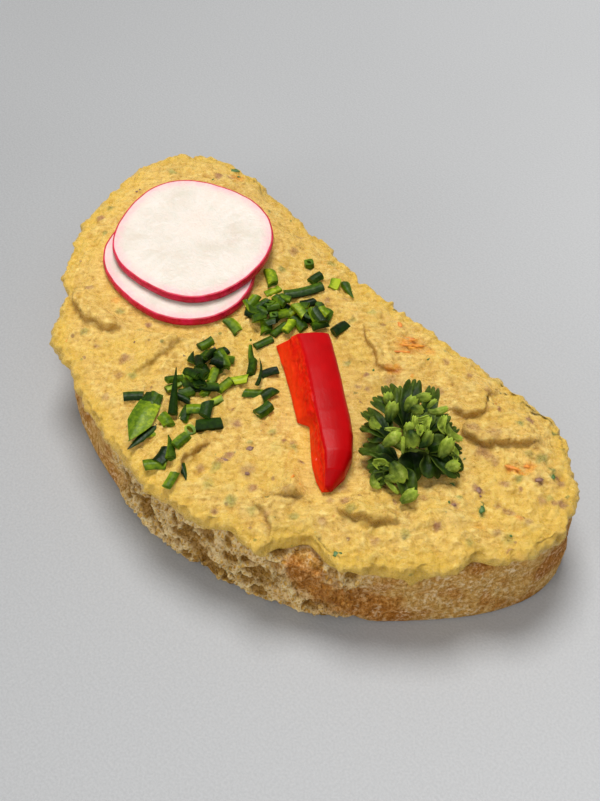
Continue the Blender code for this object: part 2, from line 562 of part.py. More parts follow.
def make_pod(name, place, length, width, turn, pieces):
    """A curled leaflet as a plump, closed oval whose broad side looks at the viewer."""
    run = Vector(SIDEWAYS) * math.cos(turn) + Vector(UPWARDS) * math.sin(turn)
    over = Vector(TOWARDS)
    side = over.cross(run)
    form = bmesh.new()
    bmesh.ops.create_uvsphere(form, u_segments=POD_SIDES, v_segments=POD_RINGS, radius=1.0)
    for vert in form.verts:
        out, deep, along = vert.co
        shape = run * along * length / 2 + side * out * width / 2 + over * deep * POD_THICK * width
        vert.co = place + shape
    object_from(form, name, pieces)


def make_stalk(name, start, end, radius, sides, collection):
    run = end - start
    form = bmesh.new()
    bmesh.ops.create_cone(
        form, cap_ends=True, segments=sides, radius1=radius, radius2=radius * STALK_TAPER, depth=run.length
    )
    bmesh.ops.rotate(form, verts=form.verts, matrix=run.to_track_quat("Z", "Y").to_matrix())
    bmesh.ops.translate(form, verts=form.verts, vec=(start + end) / 2)
    return object_from(form, name, collection)


def make_parsley(collection, pieces):
    """A sprig: forked stalks from one foot, with flat leaves, and over them curled pods on stalks of
    their own, joined to one body."""
    forks = [Vector(fork[:3]) * MM for fork in FORKS]
    top = Vector((forks[0].x, forks[0].y, forks[1].z))
    base = make_stalk("parsley", forks[0], top, FOOT_RADIUS, 2 * STALK_SIDES, collection)
    for number, fork in enumerate(FORKS[2:], start=2):
        start = forks[fork[3]]
        past = (forks[number] - start) * STALK_PAST
        end = forks[number] + past
        make_stalk(f"stalk_{number}", start - past, end, STALK_RADIUS, STALK_SIDES, pieces)
    for number, (fork, x, y, z, width) in enumerate(LEAVES):
        make_leaf(f"leaf_{number}", forks[fork], clear_of_spread(x, y, z), width * MM, pieces)
    for number, (x, y, z, length, width, turn) in enumerate(PODS):
        place = clear_of_spread(x, y, z)
        nearest = min(forks[1:], key=lambda fork: (fork - place).length)
        make_stalk(f"pod_stalk_{number}", nearest, place, POD_STALK_RADIUS, POD_STALK_SIDES, pieces)
        make_pod(f"pod_{number}", place, length * MM, width * MM, math.radians(turn), pieces)
    bpy.context.view_layer.update()
    return unite(base, pieces)


def main():
    for item in list(bpy.data.objects):
        bpy.data.objects.remove(item)
    sandwich = bpy.data.collections.new("vegetable_sandwich")
    bpy.context.scene.collection.children.link(sandwich)
    chives = bpy.data.collections.new("chives")
    leaves = bpy.data.collections.new("leaves")
    bpy.context.scene.collection.children.link(chives)
    bpy.context.scene.collection.children.link(leaves)

    bread = make_bread(sandwich)
    spread = make_spread(sandwich)
    make_chives(chives)
    bpy.context.view_layer.update()
    unite(spread, chives)
    lower = make_radish("radish_lower", RADISH_SEAT + CLEARANCE, sandwich)
    upper = make_radish("radish_upper", RADISH_SEAT + 2 * CLEARANCE + RADISH_THICK, sandwich)
    pepper = make_pepper(sandwich)
    parsley = make_parsley(sandwich, leaves)

    for item in (bread, spread, lower, upper, pepper, parsley):
        item.data.materials.clear()
        item.data.materials.append(material_for(item.name))
        item.data.shade_smooth()
        item.data.set_sharp_from_angle(angle=math.radians(40))


main()
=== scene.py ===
"""The looks of an open vegetable sandwich: torn and crusty bread under a knife-spread paste, with
radish slices, a strip of red pepper, cut chives and a sprig of curly parsley.

Shapes are worked out in millimetres in the frame's own axes, and make_piece turns them to metres.
"""

import math

import bpy
import numpy as np
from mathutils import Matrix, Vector, noise


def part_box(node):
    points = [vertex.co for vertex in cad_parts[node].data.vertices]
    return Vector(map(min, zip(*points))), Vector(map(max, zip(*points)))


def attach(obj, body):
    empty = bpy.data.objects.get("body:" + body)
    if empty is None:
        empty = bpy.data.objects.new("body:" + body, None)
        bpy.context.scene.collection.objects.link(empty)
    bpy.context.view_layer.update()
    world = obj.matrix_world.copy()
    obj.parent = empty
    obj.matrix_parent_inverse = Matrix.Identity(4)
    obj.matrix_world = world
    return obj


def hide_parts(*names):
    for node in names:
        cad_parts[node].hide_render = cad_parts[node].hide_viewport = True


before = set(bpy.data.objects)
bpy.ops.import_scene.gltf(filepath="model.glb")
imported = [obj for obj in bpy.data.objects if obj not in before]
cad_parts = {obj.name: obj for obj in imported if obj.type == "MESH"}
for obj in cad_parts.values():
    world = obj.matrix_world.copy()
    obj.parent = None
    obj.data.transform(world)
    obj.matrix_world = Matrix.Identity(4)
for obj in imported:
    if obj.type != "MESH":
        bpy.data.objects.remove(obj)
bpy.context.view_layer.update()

MM = 0.001
CLEARANCE = 0.3


def box_mm(node):
    """A node's lowest and highest corners, in mm."""
    return [np.array(corner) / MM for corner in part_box(node)]


# The photograph's camera
PHOTO_SIZE = (600, 801)  # in pixels
CAMERA_PLACE = Vector((0.1180, -0.1022, 0.1933))
CAMERA_TARGET = Vector((-0.0007, 0.0085, 0.0))
CAMERA_LENS = 55.0
CAMERA_SENSOR = 36.0
VIEW = (CAMERA_PLACE - CAMERA_TARGET).to_track_quat("Z", "Y")
SIDEWAYS, UPWARDS, TOWARDS = (np.array(VIEW @ Vector(axis)) for axis in np.eye(3))  # in the view


def seen_at(pixel_x, pixel_y, level):
    """The place at this height, in mm, that the photograph shows at a pixel."""
    focal = CAMERA_LENS / CAMERA_SENSOR * max(PHOTO_SIZE)
    ray = VIEW @ Vector((pixel_x - PHOTO_SIZE[0] / 2, PHOTO_SIZE[1] / 2 - pixel_y, -focal))
    place = CAMERA_PLACE + ray * ((level * MM - CAMERA_PLACE.z) / ray.z)
    return place.x / MM, place.y / MM


# The slice of bread
SLICE_HEIGHT = round(box_mm("bread")[1][2], 3)
SLICE_EDGE = [  # round the slice from its broad end: flat base, narrow end, curved crown
    (62.5, 11.2), (59.8, 19.3), (52.0, 25.9), (41.3, 28.9), (22.0, 29.0), (0.0, 28.9), (-20.0, 31.4),
    (-40.0, 33.6), (-54.2, 32.2), (-60.9, 25.0), (-61.4, 12.0), (-56.0, -2.3), (-44.9, -16.0),
    (-29.0, -26.9), (-11.1, -32.2), (7.0, -34.0), (25.2, -30.3), (41.2, -21.8), (53.8, -8.6), (60.6, 2.2),
]
SLICE_WALL = [  # how far inside the edge and how high, from the underside up
    (9.0, 0.0), (4.0, 0.0), (0.6, 0.0), (0.1, 0.7), (0.0, 2.5), (0.0, 5.2),
    (0.1, 8.0), (0.2, 10.6), (0.4, 12.8), (1.3, 14.7), (4.0, 15.0), (9.0, 15.0),
]
WALL_AROUND = 860
WALL_ROWS = 92
WALL_BUMPS = 0.7
WALL_BUMP_SIZE = 6.0
PIT_COUNT = 26
PIT_DEPTH = 1.5
PIT_RADIUS = (1.6, 3.4)
PIT_HEIGHT = (1.5, 12.0)
PIT_STRETCH = (0.60, 0.83)  # share of the way round, where the crust is torn open
CELL_WALL = 0.42  # share of a cell over which its wall slopes down
TORN = (0.695, 0.03, 0.905, 0.035)  # where the open crumb starts and ends, each with its fade
CELLS = [(3.4, 1.35), (1.5, 0.75)]  # size and depth of the crumb's open cells
NOTCHES = [  # x, y, reach along the edge, height of a gap under the slice's lower edge
    (17.3, -32.4, 1.8, 2.6), (31.8, -27.2, 1.5, 1.8), (42.8, -19.9, 2.4, 1.7), (24.5, -30.2, 1.2, 1.0),
]
TOASTS = [  # x, y, z, reach, strength of a browned patch
    (35.3, -24.9, 13.0, 4.4, 1.0), (41.5, -21.2, 9.5, 4.6, 0.8), (46.5, -16.4, 3.5, 5.0, 0.8),
    (49.8, -12.5, 1.5, 4.0, 0.6), (60.6, 14.6, 8.0, 4.6, 1.0), (39.5, -22.4, 2.5, 4.0, 0.5),
    (-27.0, -27.5, 6.0, 6.0, 0.35), (56.0, -4.0, 14.0, 3.0, 0.5), (62.4, 10.0, 8.0, 4.0, 1.1),
    (45.7, -16.8, 6.0, 5.0, 0.8), (38.5, -23.4, 8.0, 4.0, 0.7),
]

# The spread
SPREAD_FLOOR = SLICE_HEIGHT + CLEARANCE
SPREAD_RIM = 2.8
SPREAD_THICK = 4.4
SPREAD_SHOULDER = 8.0
SPREAD_ROUND = 1.1
BRIM_ROLL = [  # shares of the rounding outwards and of the brim's height down, over the brim
    (0.0, 0.0), (0.45, 0.06), (0.80, 0.24), (1.0, 0.50), (0.92, 0.78), (0.60, 0.95), (0.2, 1.0),
]
RIM_INSET = 0.4
RIM_ROOT = 0.6
RIM_CALM = 0.35
RIM_CALM_REACH = 3.0
EDGE_OUT = 0.3
EDGE_WAVE = 0.7
EDGE_WAVE_SIZE = 5.0
EDGE_RAGGED = 0.40
EDGE_RAGGED_SIZE = 1.5
EDGE_POINTS = 1440
RIM_SPOTS = [  # x, y, reach along the edge, how far out, how far it hangs
    (-34.0, -25.0, 4.4, 2.2, 1.6), (-42.5, -17.8, 3.0, -1.5, 0.0), (-52.0, -6.0, 6.0, 0.3, 0.4),
    (50.6, -12.8, 2.4, 0.6, 0.9), (35.6, -25.4, 5.2, -4.2, 0.0), (22.4, -31.4, 2.6, -1.5, 0.0),
    (29.6, -28.7, 1.5, 1.4, 0.2), (8.0, -34.0, 9.0, 0.4, 0.0), (56.0, -4.0, 3.4, -1.5, 0.0),
    (-59.0, 20.0, 9.0, 0.8, 0.6), (-48.0, 34.0, 6.0, 0.3, 0.4), (60.6, 17.0, 4.5, -1.4, 0.0),
    (45.6, 28.4, 2.6, 1.2, 0.3), (55.0, 23.6, 3.0, -0.9, 0.0),
]
DRIPS = [  # x, y, reach along the edge, how far it hangs below the rim
    (50.3, -13.4, 0.7, 2.3), (56.9, -2.9, 0.6, 1.3), (29.8, -28.6, 0.7, 0.6), (47.0, -17.2, 0.6, 0.9),
    (53.4, -8.6, 0.5, 1.0), (61.0, 5.0, 0.7, 0.9), (14.6, -33.2, 0.8, 0.8), (-3.2, -33.6, 0.7, 0.7),
    (52.0, -11.0, 0.45, 1.2), (48.6, -15.4, 0.4, 1.0), (55.2, -5.6, 0.4, 0.9), (59.0, 0.6, 0.5, 1.1),
    (43.6, -20.6, 0.5, 0.7),
]
LIPS = [  # rise, reach on the high side, softness, and a line with the high side on its left
    (1.9, 9.0, 0.40, [(-43.0, -15.0), (-38.4, -17.6), (-33.5, -18.8), (-29.0, -18.0), (-24.0, -14.5)]),
    (1.9, 4.0, 0.95, [(-14.3, -22.5), (-15.0, -16.0), (-16.3, -9.0), (-15.6, -4.5)]),
    (1.7, 3.5, 0.45, [(9.5, -31.0), (7.4, -27.5), (7.2, -24.2), (8.0, -20.5)]),
    (2.1, 8.0, 0.34, [(22.5, -22.0), (28.0, -17.4), (33.0, -14.9), (38.5, -12.8), (45.0, -7.8)]),
    (1.6, 7.0, 0.38, [(31.0, 14.6), (36.4, 18.6), (34.2, 23.5), (34.6, 27.0)]),
    (1.9, 6.5, 0.34, [(35.0, 17.0), (38.3, 13.2), (42.2, 15.3), (46.0, 19.4), (49.5, 24.0)]),
    (1.3, 5.5, 0.45, [(4.6, 19.8), (11.2, 16.0), (16.1, 14.4), (20.0, 15.9)]),
    (1.3, 4.0, 0.34, [(22.0, -25.2), (25.3, -24.4), (28.0, -25.2), (30.6, -27.6)]),
]
LIP_FADE = 0.22
LIP_OVERHANG = 0.75
LIP_CREST = 0.22  # share of the rise that the rolled crest stands above the fold
LIP_RAGGED = 0.9  # how far the line wanders
LIP_RAGGED_SIZE = 2.4
DENTS = [  # x, y, radius, depth
    (48.6, -7.0, 2.6, 1.5), (-20.0, -20.5, 4.0, 0.7), (19.0, 6.0, 6.0, 0.5), (-2.0, 24.0, 5.0, 0.6),
]
WAVES = [(13.0, 0.62), (5.5, 0.55)]
FAR_MOUND = (-46.0, 8.0, 22.0, 1.0)
SPREAD_CELLS = (384, 208)
SPREAD_HALF = (61.0, 33.0)
SEAT_FLAT = 1.8
SEAT_MARGIN = 3.0
SEAT_CALM = 0.85  # share of the fine relief that is pressed flat under what lies on the spread
STROKES = (47.0, 118.0)  # headings of the knife's strokes

# What lies on the spread
VIEWER = math.radians(-43.0)
RADISH_LEAN = math.radians(4.0)
RADISH_SEAT = 20.4
RADISH_THICK = 1.7
RAY_STRENGTH = 0.12  # of the pale rays in the flesh
RADISHES = {  # x, y, radius, and how unevenly it was sliced
    "radish_lower": (-30.5, 3.8, 15.6, ((2, 0.045, 1.57), (3, 0.035, 2.72), (5, 0.006, 1.0))),
    "radish_upper": (
        -32.3, 8.2, 16.04, ((2, 0.020, 1.35), (3, 0.010, -1.14), (4, 0.026, -2.71), (5, 0.008, -0.48)),
    ),
}
PEPPER_LINE = [(0.3, 7.6), (5.4, 5.4), (10.6, 1.9), (15.4, -2.1), (20.0, -6.0), (24.4, -9.7), (29.6, -13.9)]
PEPPER_POINTS = 60  # along the line
PEPPER_KNOTS = [0.0, 0.12, 0.28, 0.44, 0.57, 0.60, 0.72, 0.84, 0.94, 1.0]  # shares of the line
PEPPER_FLESH = [4.6, 5.1, 4.9, 4.25, 3.6, 1.6, 1.6, 1.6, 1.2, 0.5]  # sideways to the cut face's foot
PEPPER_RIDGE = [-1.5, -1.7, -1.5, -1.0, -0.6, -0.5, 0.0, 0.5, 0.3, 0.1]  # sideways to the edge of the skin
PEPPER_SKIN = [4.5, 4.2, 4.4, 4.9, 5.4, 5.5, 5.65, 5.2, 3.6, 1.3]  # sideways to the skin's far shoulder
PEPPER_HEIGHT = [5.0, 5.1, 5.2, 5.2, 5.1, 5.1, 5.0, 4.7, 3.7, 1.6]
PEPPER_SECTION = [  # shares of the flesh's, the ridge's and the skin's places, and of the height
    (-1.0, 0.0, 0.0, 0.0), (0.0, 0.0, 0.0, 0.0), (0.0, 0.0, 0.92, 0.0), (0.0, 0.0, 1.03, 0.30),
    (0.0, 0.0, 1.02, 0.62), (0.0, 0.0, 0.90, 0.85), (0.0, 0.35, 0.62, 0.96), (0.0, 0.72, 0.28, 1.0),
    (0.0, 1.0, 0.0, 0.98), (-0.14, 0.86, 0.0, 0.84), (-0.58, 0.42, 0.0, 0.42), (-1.0, 0.0, 0.0, 0.10),
]
PEPPER_SKEW = (0.26, 0.35)  # how far the blunt end's cut runs back, for each mm sideways and up
PEPPER_SEAT = 19.4
PARSLEY_FOOT = (34.5, 1.7)
PARSLEY_SEAT = 19.3
PARSLEY_BED = 6.0
FORKS = [  # the stalks' forks: x, y, z, and the fork that each grows from
    (34.5, 1.7, 19.6, 0), (34.0, 2.2, 21.8, 0), (31.0, 4.6, 23.0, 1), (34.6, 5.6, 23.6, 1),
    (37.2, 3.8, 22.6, 1), (35.4, -1.4, 21.6, 1), (31.2, 0.8, 22.8, 1),
]
LEAVES = [  # fork that it grows from, x, y, z of its end, width, and how pale it is, where low values are painted shade
    (2, 22.7, 7.8, 25.0, 3.3, 0.10), (2, 25.2, 8.9, 26.0, 2.9, 0.16), (2, 26.1, 11.8, 26.4, 3.5, 0.02),
    (3, 29.0, 13.9, 25.0, 2.9, 0.12), (2, 22.8, 4.6, 24.0, 3.3, 0.05), (6, 23.2, 1.9, 23.0, 3.0, 0.08),
    (6, 25.1, -0.5, 22.4, 2.8, 0.12), (3, 35.0, 11.2, 25.0, 3.2, 0.14), (4, 37.0, 11.4, 23.0, 3.2, 0.04),
    (4, 40.3, 9.3, 21.4, 3.2, 0.0), (4, 43.8, 5.1, 20.8, 4.4, 0.0), (5, 28.0, -3.8, 21.6, 3.2, 0.10),
    (5, 31.9, -5.8, 21.6, 3.8, 0.04), (5, 35.0, -7.2, 21.0, 3.6, 0.08), (5, 41.3, -4.8, 21.4, 3.6, 0.10),
    (3, 31.6, 9.6, 25.4, 3.2, 0.22), (4, 38.6, 7.4, 24.2, 3.4, 0.12),
    # The broad leaves below, with paleness under 0, are painted near black as the sprig's deep shade.
    (2, 27.6, 6.8, 24.4, 5.6, -0.05), (3, 32.0, 9.0, 24.4, 5.4, -0.05), (4, 38.4, 7.0, 22.8, 6.0, -0.10),
    (6, 27.4, 0.2, 22.4, 5.8, -0.10), (5, 32.0, -3.4, 21.6, 5.4, -0.10), (5, 37.6, -4.4, 21.4, 5.2, -0.10),
    (4, 41.4, 2.2, 20.8, 5.6, -0.15), (1, 39.2, -0.6, 20.6, 5.6, -0.20),
]
PODS = [  # its middle's pixel in the photograph, z, length, width, turn in the view, how pale, and bend
    (389, 401, 25.4, 2.6, 1.8, 100, 0.45, 0.0), (391, 413, 25.2, 3.4, 2.2, 75, 0.35, 0.0),
    (410, 405, 26.2, 2.8, 2.0, 60, 0.50, 0.0), (416, 409, 26.0, 2.2, 1.8, -30, 0.40, 0.0),
    (421, 398, 26.5, 3.0, 1.6, 10, 0.60, 0.0), (413.5, 424.5, 27.0, 2.4, 1.3, 60, 1.00, 0.5),
    (420, 419, 27.2, 2.6, 1.0, 0, 0.90, 0.4), (427.5, 427, 27.0, 2.8, 1.3, 95, 1.00, -0.5),
    (420, 431, 27.0, 1.8, 1.2, 80, 0.90, 0.0), (409.5, 429, 26.5, 2.0, 1.6, 90, 0.60, 0.0),
    (437, 411, 26.0, 3.2, 1.2, 8, 0.80, 0.2), (431, 405, 26.0, 2.2, 0.9, 45, 0.60, 0.0),
    (443, 426, 26.0, 3.0, 1.4, 95, 0.85, -0.4), (452, 433, 25.0, 3.4, 1.3, -50, 0.70, 0.4),
    (445, 449, 24.5, 3.6, 2.2, 60, 0.60, 0.0), (455, 455, 23.2, 2.6, 1.2, 100, 0.85, 0.2),
    (451, 467, 22.6, 2.6, 2.0, 20, 0.65, 0.0), (374, 423, 24.6, 2.2, 1.5, -60, 0.75, 0.4),
    (392, 429.5, 25.6, 2.6, 0.8, -5, 0.85, 0.0), (391, 440, 25.4, 3.4, 2.0, 35, 0.70, 0.0),
    (403, 446, 25.0, 2.6, 0.7, 88, 0.80, 0.0), (412, 438, 26.0, 2.8, 2.4, -80, 0.35, 0.0),
    (425, 441, 25.5, 3.2, 1.8, 50, 0.15, 0.3), (380, 464, 23.4, 2.6, 2.0, -20, 1.00, 0.0),
    (397, 471, 23.8, 3.6, 2.8, -60, 0.50, 0.0), (374.5, 482, 22.0, 2.4, 1.2, -60, 0.70, 0.4),
    (391, 486, 22.4, 3.0, 0.7, -45, 0.80, 0.0), (408, 497, 22.0, 3.0, 2.0, 35, 0.75, 0.0),
    (392, 478, 23.4, 2.6, 1.4, 0, 0.60, 0.0),
]
LEAF_SHEET = 0.32  # thickness
POD_SHEET = 0.30
FOOT_RADIUS = 1.3
STALK_PAST = 0.1  # share of its run that a stalk reaches past its fork
STALK_RADIUS = 0.75
POD_STALK_RADIUS = 0.32
POD_THICK = 0.42  # share of a pod's width
POD_OPEN = 0.80  # paler pods than this lie open

CHIVE_SUNK = 0.26
CHIVE_LENGTH = (2.7, 4.1)
CHIVE_GIRTH = (1.8, 2.7)
CHIVE_CUTS = [  # x, y and heading: the drift by the radish, the drift to the crown, its end
    (-15.5, 14.5, 150), (-13, 12.5, 80), (-9.5, 21, 90), (-5.5, 15, 65), (-6, 23, 120), (-0.5, 15.5, 115),
    (3.5, 15, 90), (-11, 0.5, 170), (-12, 6.5, 85), (-9.5, 5, 55), (-7, 11.5, 190), (-4.5, 6.5, 95),
    (-3, 10.5, 170), (-6.5, 5, 140), (-4, 2, 80), (-0.5, -4, 130), (2.5, -2.5, 70), (0.5, -8, 60),
    (4.5, -8, 45), (6.5, -6.5, 90), (9, -9.5, 90),
    (-11, -6.5, 85), (-8.5, -9.5, 90), (-8, -6, 70), (-4.5, -8, 165), (-6, -11.5, 170), (-5.5, -15, 45),
    (-7, -13.5, 50), (-0.5, -11, 95), (0.5, -18.5, 45), (-10, -25, 50), (-6.5, -23, 120), (-1, -24.5, 170),
    (-0.5, -20.5, 120), (1, -15, 85), (2, -17.5, 130),
    (4.5, -25.5, 95), (4.5, -29.5, 110), (4.5, -31.5, 50), (9, -31.5, 115),
]
CHIVE_LONG_CUTS = [  # x, y, heading, length and girth
    (-8, 16.5, 65, 8.0, 2.5), (4.5, -19, 55, 4.8, 2.5), (-2.5, -12.5, 120, 6.6, 2.0),
]
CHIVE_RINGS = [(-13.5, 23), (-9.5, 8.5), (-7, 7.5), (-2.5, 12.5), (3.5, -22.5)]
CHIVE_RING_HEIGHT = 0.75  # in girths
CHIVE_PITCH = 20.0  # how far a cut on top of others may tip
CHIVE_BLADES = [  # x, y, heading of the point, length and girth
    (-3.5, 24.5, -20, 4.6, 2.1), (-4.5, -1, 140, 9.0, 1.5), (2, -4, 135, 8.0, 0.9),
    (-10, -11, 130, 2.8, 1.7), (-3.5, -28, -70, 8.4, 2.6), (-1.5, -28.5, -105, 6.4, 1.8),
    (-4.5, -19.5, 135, 9.4, 2.0), (4, -27.5, 145, 5.4, 2.2), (9.5, -29, -25, 3.4, 1.7),
]
BLADE_TIP = 0.08
CHIVE_LEAVES = [  # split open and flat: x, y, heading of the point, length, width, paleness, lift
    (-5.8, -24.6, -58, 6.4, 3.6, 0.35, 0.5), (-4.2, -27.8, -62, 9.4, 4.5, 0.78, 1.1),
    (-1.6, -29.6, -84, 7.4, 1.5, 0.2, 0.4),
]
CHIVE_FILL = [  # x, y, radius of a patch, and how many more cuts lie in it
    (-7.0, 9.5, 4.4, 13), (-2.5, 12.5, 3.6, 7), (-9.5, 6.5, 3.0, 5), (-7.6, -8.0, 3.6, 6),
    (-3.6, -13.5, 3.2, 7), (-5.4, -17.6, 2.6, 4),
]
CHIVE_FILL_LENGTH = (1.9, 3.8)
CHIVE_FILL_GIRTH = (1.4, 2.5)

# Bits in the spread
STAINS = {  # vegetable under the paste: its pixel in the photograph, radius in mm, and strength
    "brown": [
        (530, 421, 0.8, 0.9), (473, 432, 1.0, 0.35), (492, 436, 1.1, 0.3), (499, 409, 0.35, 0.9),
        (482, 452, 1.1, 0.45), (489, 456, 1.0, 0.45), (495, 461, 0.8, 0.4), (504, 485, 0.75, 0.6),
        (476, 490, 0.75, 0.85), (481, 493, 0.5, 0.6), (454, 506, 0.7, 0.6), (437, 526, 0.6, 0.85),
        (539, 482, 0.8, 0.75), (520, 489, 0.35, 0.9), (558, 475, 0.4, 0.9), (562, 480, 0.7, 0.6),
        (563, 501, 0.8, 0.7), (511, 547, 0.6, 0.75), (499, 505, 0.6, 0.4), (507, 510, 0.6, 0.5),
        (513, 513, 0.55, 0.5), (543, 500, 0.7, 0.5), (555, 501, 0.5, 0.6), (124, 359, 0.9, 0.65),
        (118, 373, 0.8, 0.35), (171, 378, 0.6, 0.4), (237, 425, 0.8, 0.75), (229, 457, 0.75, 0.95),
        (222, 462, 0.8, 0.6), (218, 460, 0.5, 0.4), (200, 467, 0.7, 0.5), (233, 410, 0.3, 0.8),
        (284, 442, 0.4, 0.9), (129, 425, 0.5, 0.8), (253, 488, 0.8, 0.7), (247, 473, 1.2, 0.35),
        (214, 508, 0.4, 0.7), (288, 492, 0.7, 0.35), (230, 527, 0.5, 0.8), (366, 375, 0.5, 0.9),
        (367, 387, 0.45, 0.6), (358, 386, 0.6, 0.5), (439, 392, 0.8, 0.4), (345, 500, 0.8, 0.5),
        (395, 505, 0.4, 0.9), (391, 380, 1.1, 0.3), (294, 253, 0.8, 0.5), (327, 302, 0.6, 0.5),
        (293, 442, 0.45, 0.7), (301, 462, 0.4, 0.95), (343, 487, 0.8, 0.35), (219, 178, 0.8, 0.85),
        (232, 178, 0.9, 0.6), (101, 218, 0.7, 0.75), (148, 324, 0.5, 0.8), (300, 235, 0.7, 0.4),
        (345, 300, 0.6, 0.4), (383, 325, 0.6, 0.5), (447, 362, 0.6, 0.5), (470, 375, 0.6, 0.5),
        (485, 392, 0.7, 0.35), (90, 290, 0.7, 0.5), (96, 345, 0.6, 0.5), (105, 395, 0.7, 0.4),
        (322, 520, 0.7, 0.4), (375, 540, 0.7, 0.45), (330, 500, 0.6, 0.4), (268, 515, 0.7, 0.35),
        (300, 540, 0.7, 0.3), (423, 500, 0.7, 0.3), (498, 530, 0.6, 0.4), (530, 520, 0.6, 0.35),
    ],
    "green": [
        (520, 427, 0.6, 0.8), (555, 430, 0.45, 0.8), (482, 509, 0.55, 0.9), (482, 514, 0.5, 0.9),
        (459, 499, 0.45, 0.8), (454, 483, 0.4, 0.8), (519, 480, 0.7, 0.65), (542, 458, 0.95, 0.6),
        (552, 469, 0.6, 0.75), (553, 474, 0.6, 0.6), (550, 496, 0.6, 0.35), (510, 536, 0.7, 0.25),
        (529, 455, 0.7, 0.25), (132, 376, 0.8, 0.5), (272, 433, 0.6, 0.5), (250, 444, 0.5, 0.4),
        (216, 468, 0.8, 0.45), (231, 499, 0.9, 0.55), (295, 515, 0.7, 0.4), (200, 515, 0.8, 0.5),
        (208, 485, 0.9, 0.3), (282, 270, 0.7, 0.65), (331, 260, 0.8, 0.5), (294, 447, 0.6, 0.45),
        (347, 363, 0.6, 0.55), (111, 209, 0.7, 0.5), (173, 176, 0.7, 0.55), (120, 311, 0.8, 0.45),
        (106, 237, 0.5, 0.6), (285, 190, 0.6, 0.4), (372, 312, 0.7, 0.35), (352, 322, 0.6, 0.35),
        (84, 330, 0.7, 0.4), (140, 330, 0.6, 0.3), (352, 512, 0.7, 0.35), (252, 510, 0.7, 0.3),
        (405, 535, 0.7, 0.35), (470, 540, 0.7, 0.3),
    ],
    "orange": [
        (510, 469, 0.6, 0.95), (516, 471, 0.6, 0.95), (522, 474, 0.5, 0.8), (530, 468, 1.0, 0.6),
        (519, 518, 0.6, 0.5), (434, 400, 0.5, 0.3), (391, 371, 0.8, 0.75), (397, 370, 0.8, 0.75),
        (238, 177, 1.2, 0.5), (116, 301, 0.8, 0.45), (430, 352, 0.9, 0.35),
    ],
}
STAIN_LEVEL = 19.6  # the height at which the photograph shows them
STAIN_GROWTH = 1.15  # a stain's whole radius over that of its dark middle
STAIN_FADE = 1.45  # how far it fades out, in radii
GREEN_BITS = [  # x, y, length, width and heading
    (39.2, -20.6, 2.6, 1.4, 20), (50.7, 3.5, 2.4, 0.9, 120), (-47.6, 32.3, 3.0, 1.2, 40),
    (54.3, 18.3, 1.4, 0.7, 140), (43.6, 3.6, 1.0, 0.5, 0), (-44.8, 31.4, 1.0, 0.5, 10),
]
BROWN_BITS = [
    (47.6, 6.0, 1.5, 1.0, 130), (46.9, 0.3, 1.0, 0.7, 40), (12.6, -22.2, 1.4, 0.8, 30),
    (13.6, -17.1, 1.5, 1.0, 70), (17.5, -21.2, 1.0, 0.8, 10), (53.5, 15.2, 1.5, 0.8, 60),
]
ORANGE_BITS = [(48.7, 13.9, 3.0, 0.7, 25), (50.1, 16.1, 1.2, 0.7, 60), (10.5, 24.8, 1.6, 0.8, 150)]
PEPPER_SHRED = (15.8, 22.6)  # middle of the shredded pepper in the spread
SHRED_HEADING = 38.0
BIT_AREA = ((-57, 58), (-30, 28))  # where more small bits may lie
BIT_FROM_EDGE = 2.5
BIT_PRESSED = 0.2  # how much a bit's place may be levelled under what lies on the spread


def ease(share):
    """0 below 0, 1 above 1, and a smooth step between."""
    share = np.clip(share, 0.0, 1.0)
    return share * share * (3.0 - 2.0 * share)


def bell(away, reach):
    """1 in the middle, and fading away beyond this reach."""
    return np.exp(-((away / reach) ** 2))


def smooth_line(points, count, closed=False):
    """count points, evenly spaced, on a smooth line through the points."""
    points = np.array(points, float)
    if closed:
        points = np.concatenate([points[-1:], points, points[:2]])
    else:
        points = np.concatenate([2 * points[:1] - points[1:2], points, 2 * points[-1:] - points[-2:-1]])
    share = np.linspace(0.0, 1.0, 30, endpoint=False)[:, None]
    runs = []
    for a, b, c, d in zip(points, points[1:], points[2:], points[3:]):
        cubic = -a + 3 * b - 3 * c + d
        runs.append(b + 0.5 * share * (c - a + share * (2 * a - 5 * b + 4 * c - d + share * cubic)))
    line = np.concatenate([*runs, points[-2:-1]])
    travelled = np.concatenate([[0.0], np.linalg.norm(np.diff(line, axis=0), axis=1).cumsum()])
    wanted = np.linspace(0.0, travelled[-1], count, endpoint=not closed)
    return np.stack([np.interp(wanted, travelled, line[:, axis]) for axis in range(points.shape[1])], axis=1)


def outward(ring):
    """Unit normals that point out of a closed ring, which runs anticlockwise."""
    along = np.roll(ring, -1, axis=0) - np.roll(ring, 1, axis=0)
    normal = np.stack([along[:, 1], -along[:, 0]], axis=1)
    return normal / np.linalg.norm(normal, axis=1, keepdims=True)


def noise_at(x, y, z, size, shift=0.0):
    """Smooth noise from about -1 to 1, whose lumps have this size."""
    x, y, z = np.broadcast_arrays(x, y, z)
    points = np.stack([x, y, z], axis=-1).reshape(-1, 3) / size + shift
    return np.array([noise.noise(p) for p in points.tolist()]).reshape(x.shape)


def cells_at(x, y, z, size, shift=0.0):
    """How deep a point lies in a foam's cell, from 0 on a wall between two cells."""
    x, y, z = np.broadcast_arrays(x, y, z)
    points = np.stack([x, y, z], axis=-1).reshape(-1, 3) / size + shift
    near = np.array([noise.voronoi(p)[0][:2] for p in points.tolist()])
    return (near[:, 1] - near[:, 0]).reshape(x.shape)


def turned(x, y, degrees):
    """The same points in axes turned by this angle."""
    c, s = math.cos(math.radians(degrees)), math.sin(math.radians(degrees))
    return x * c + y * s, -x * s + y * c


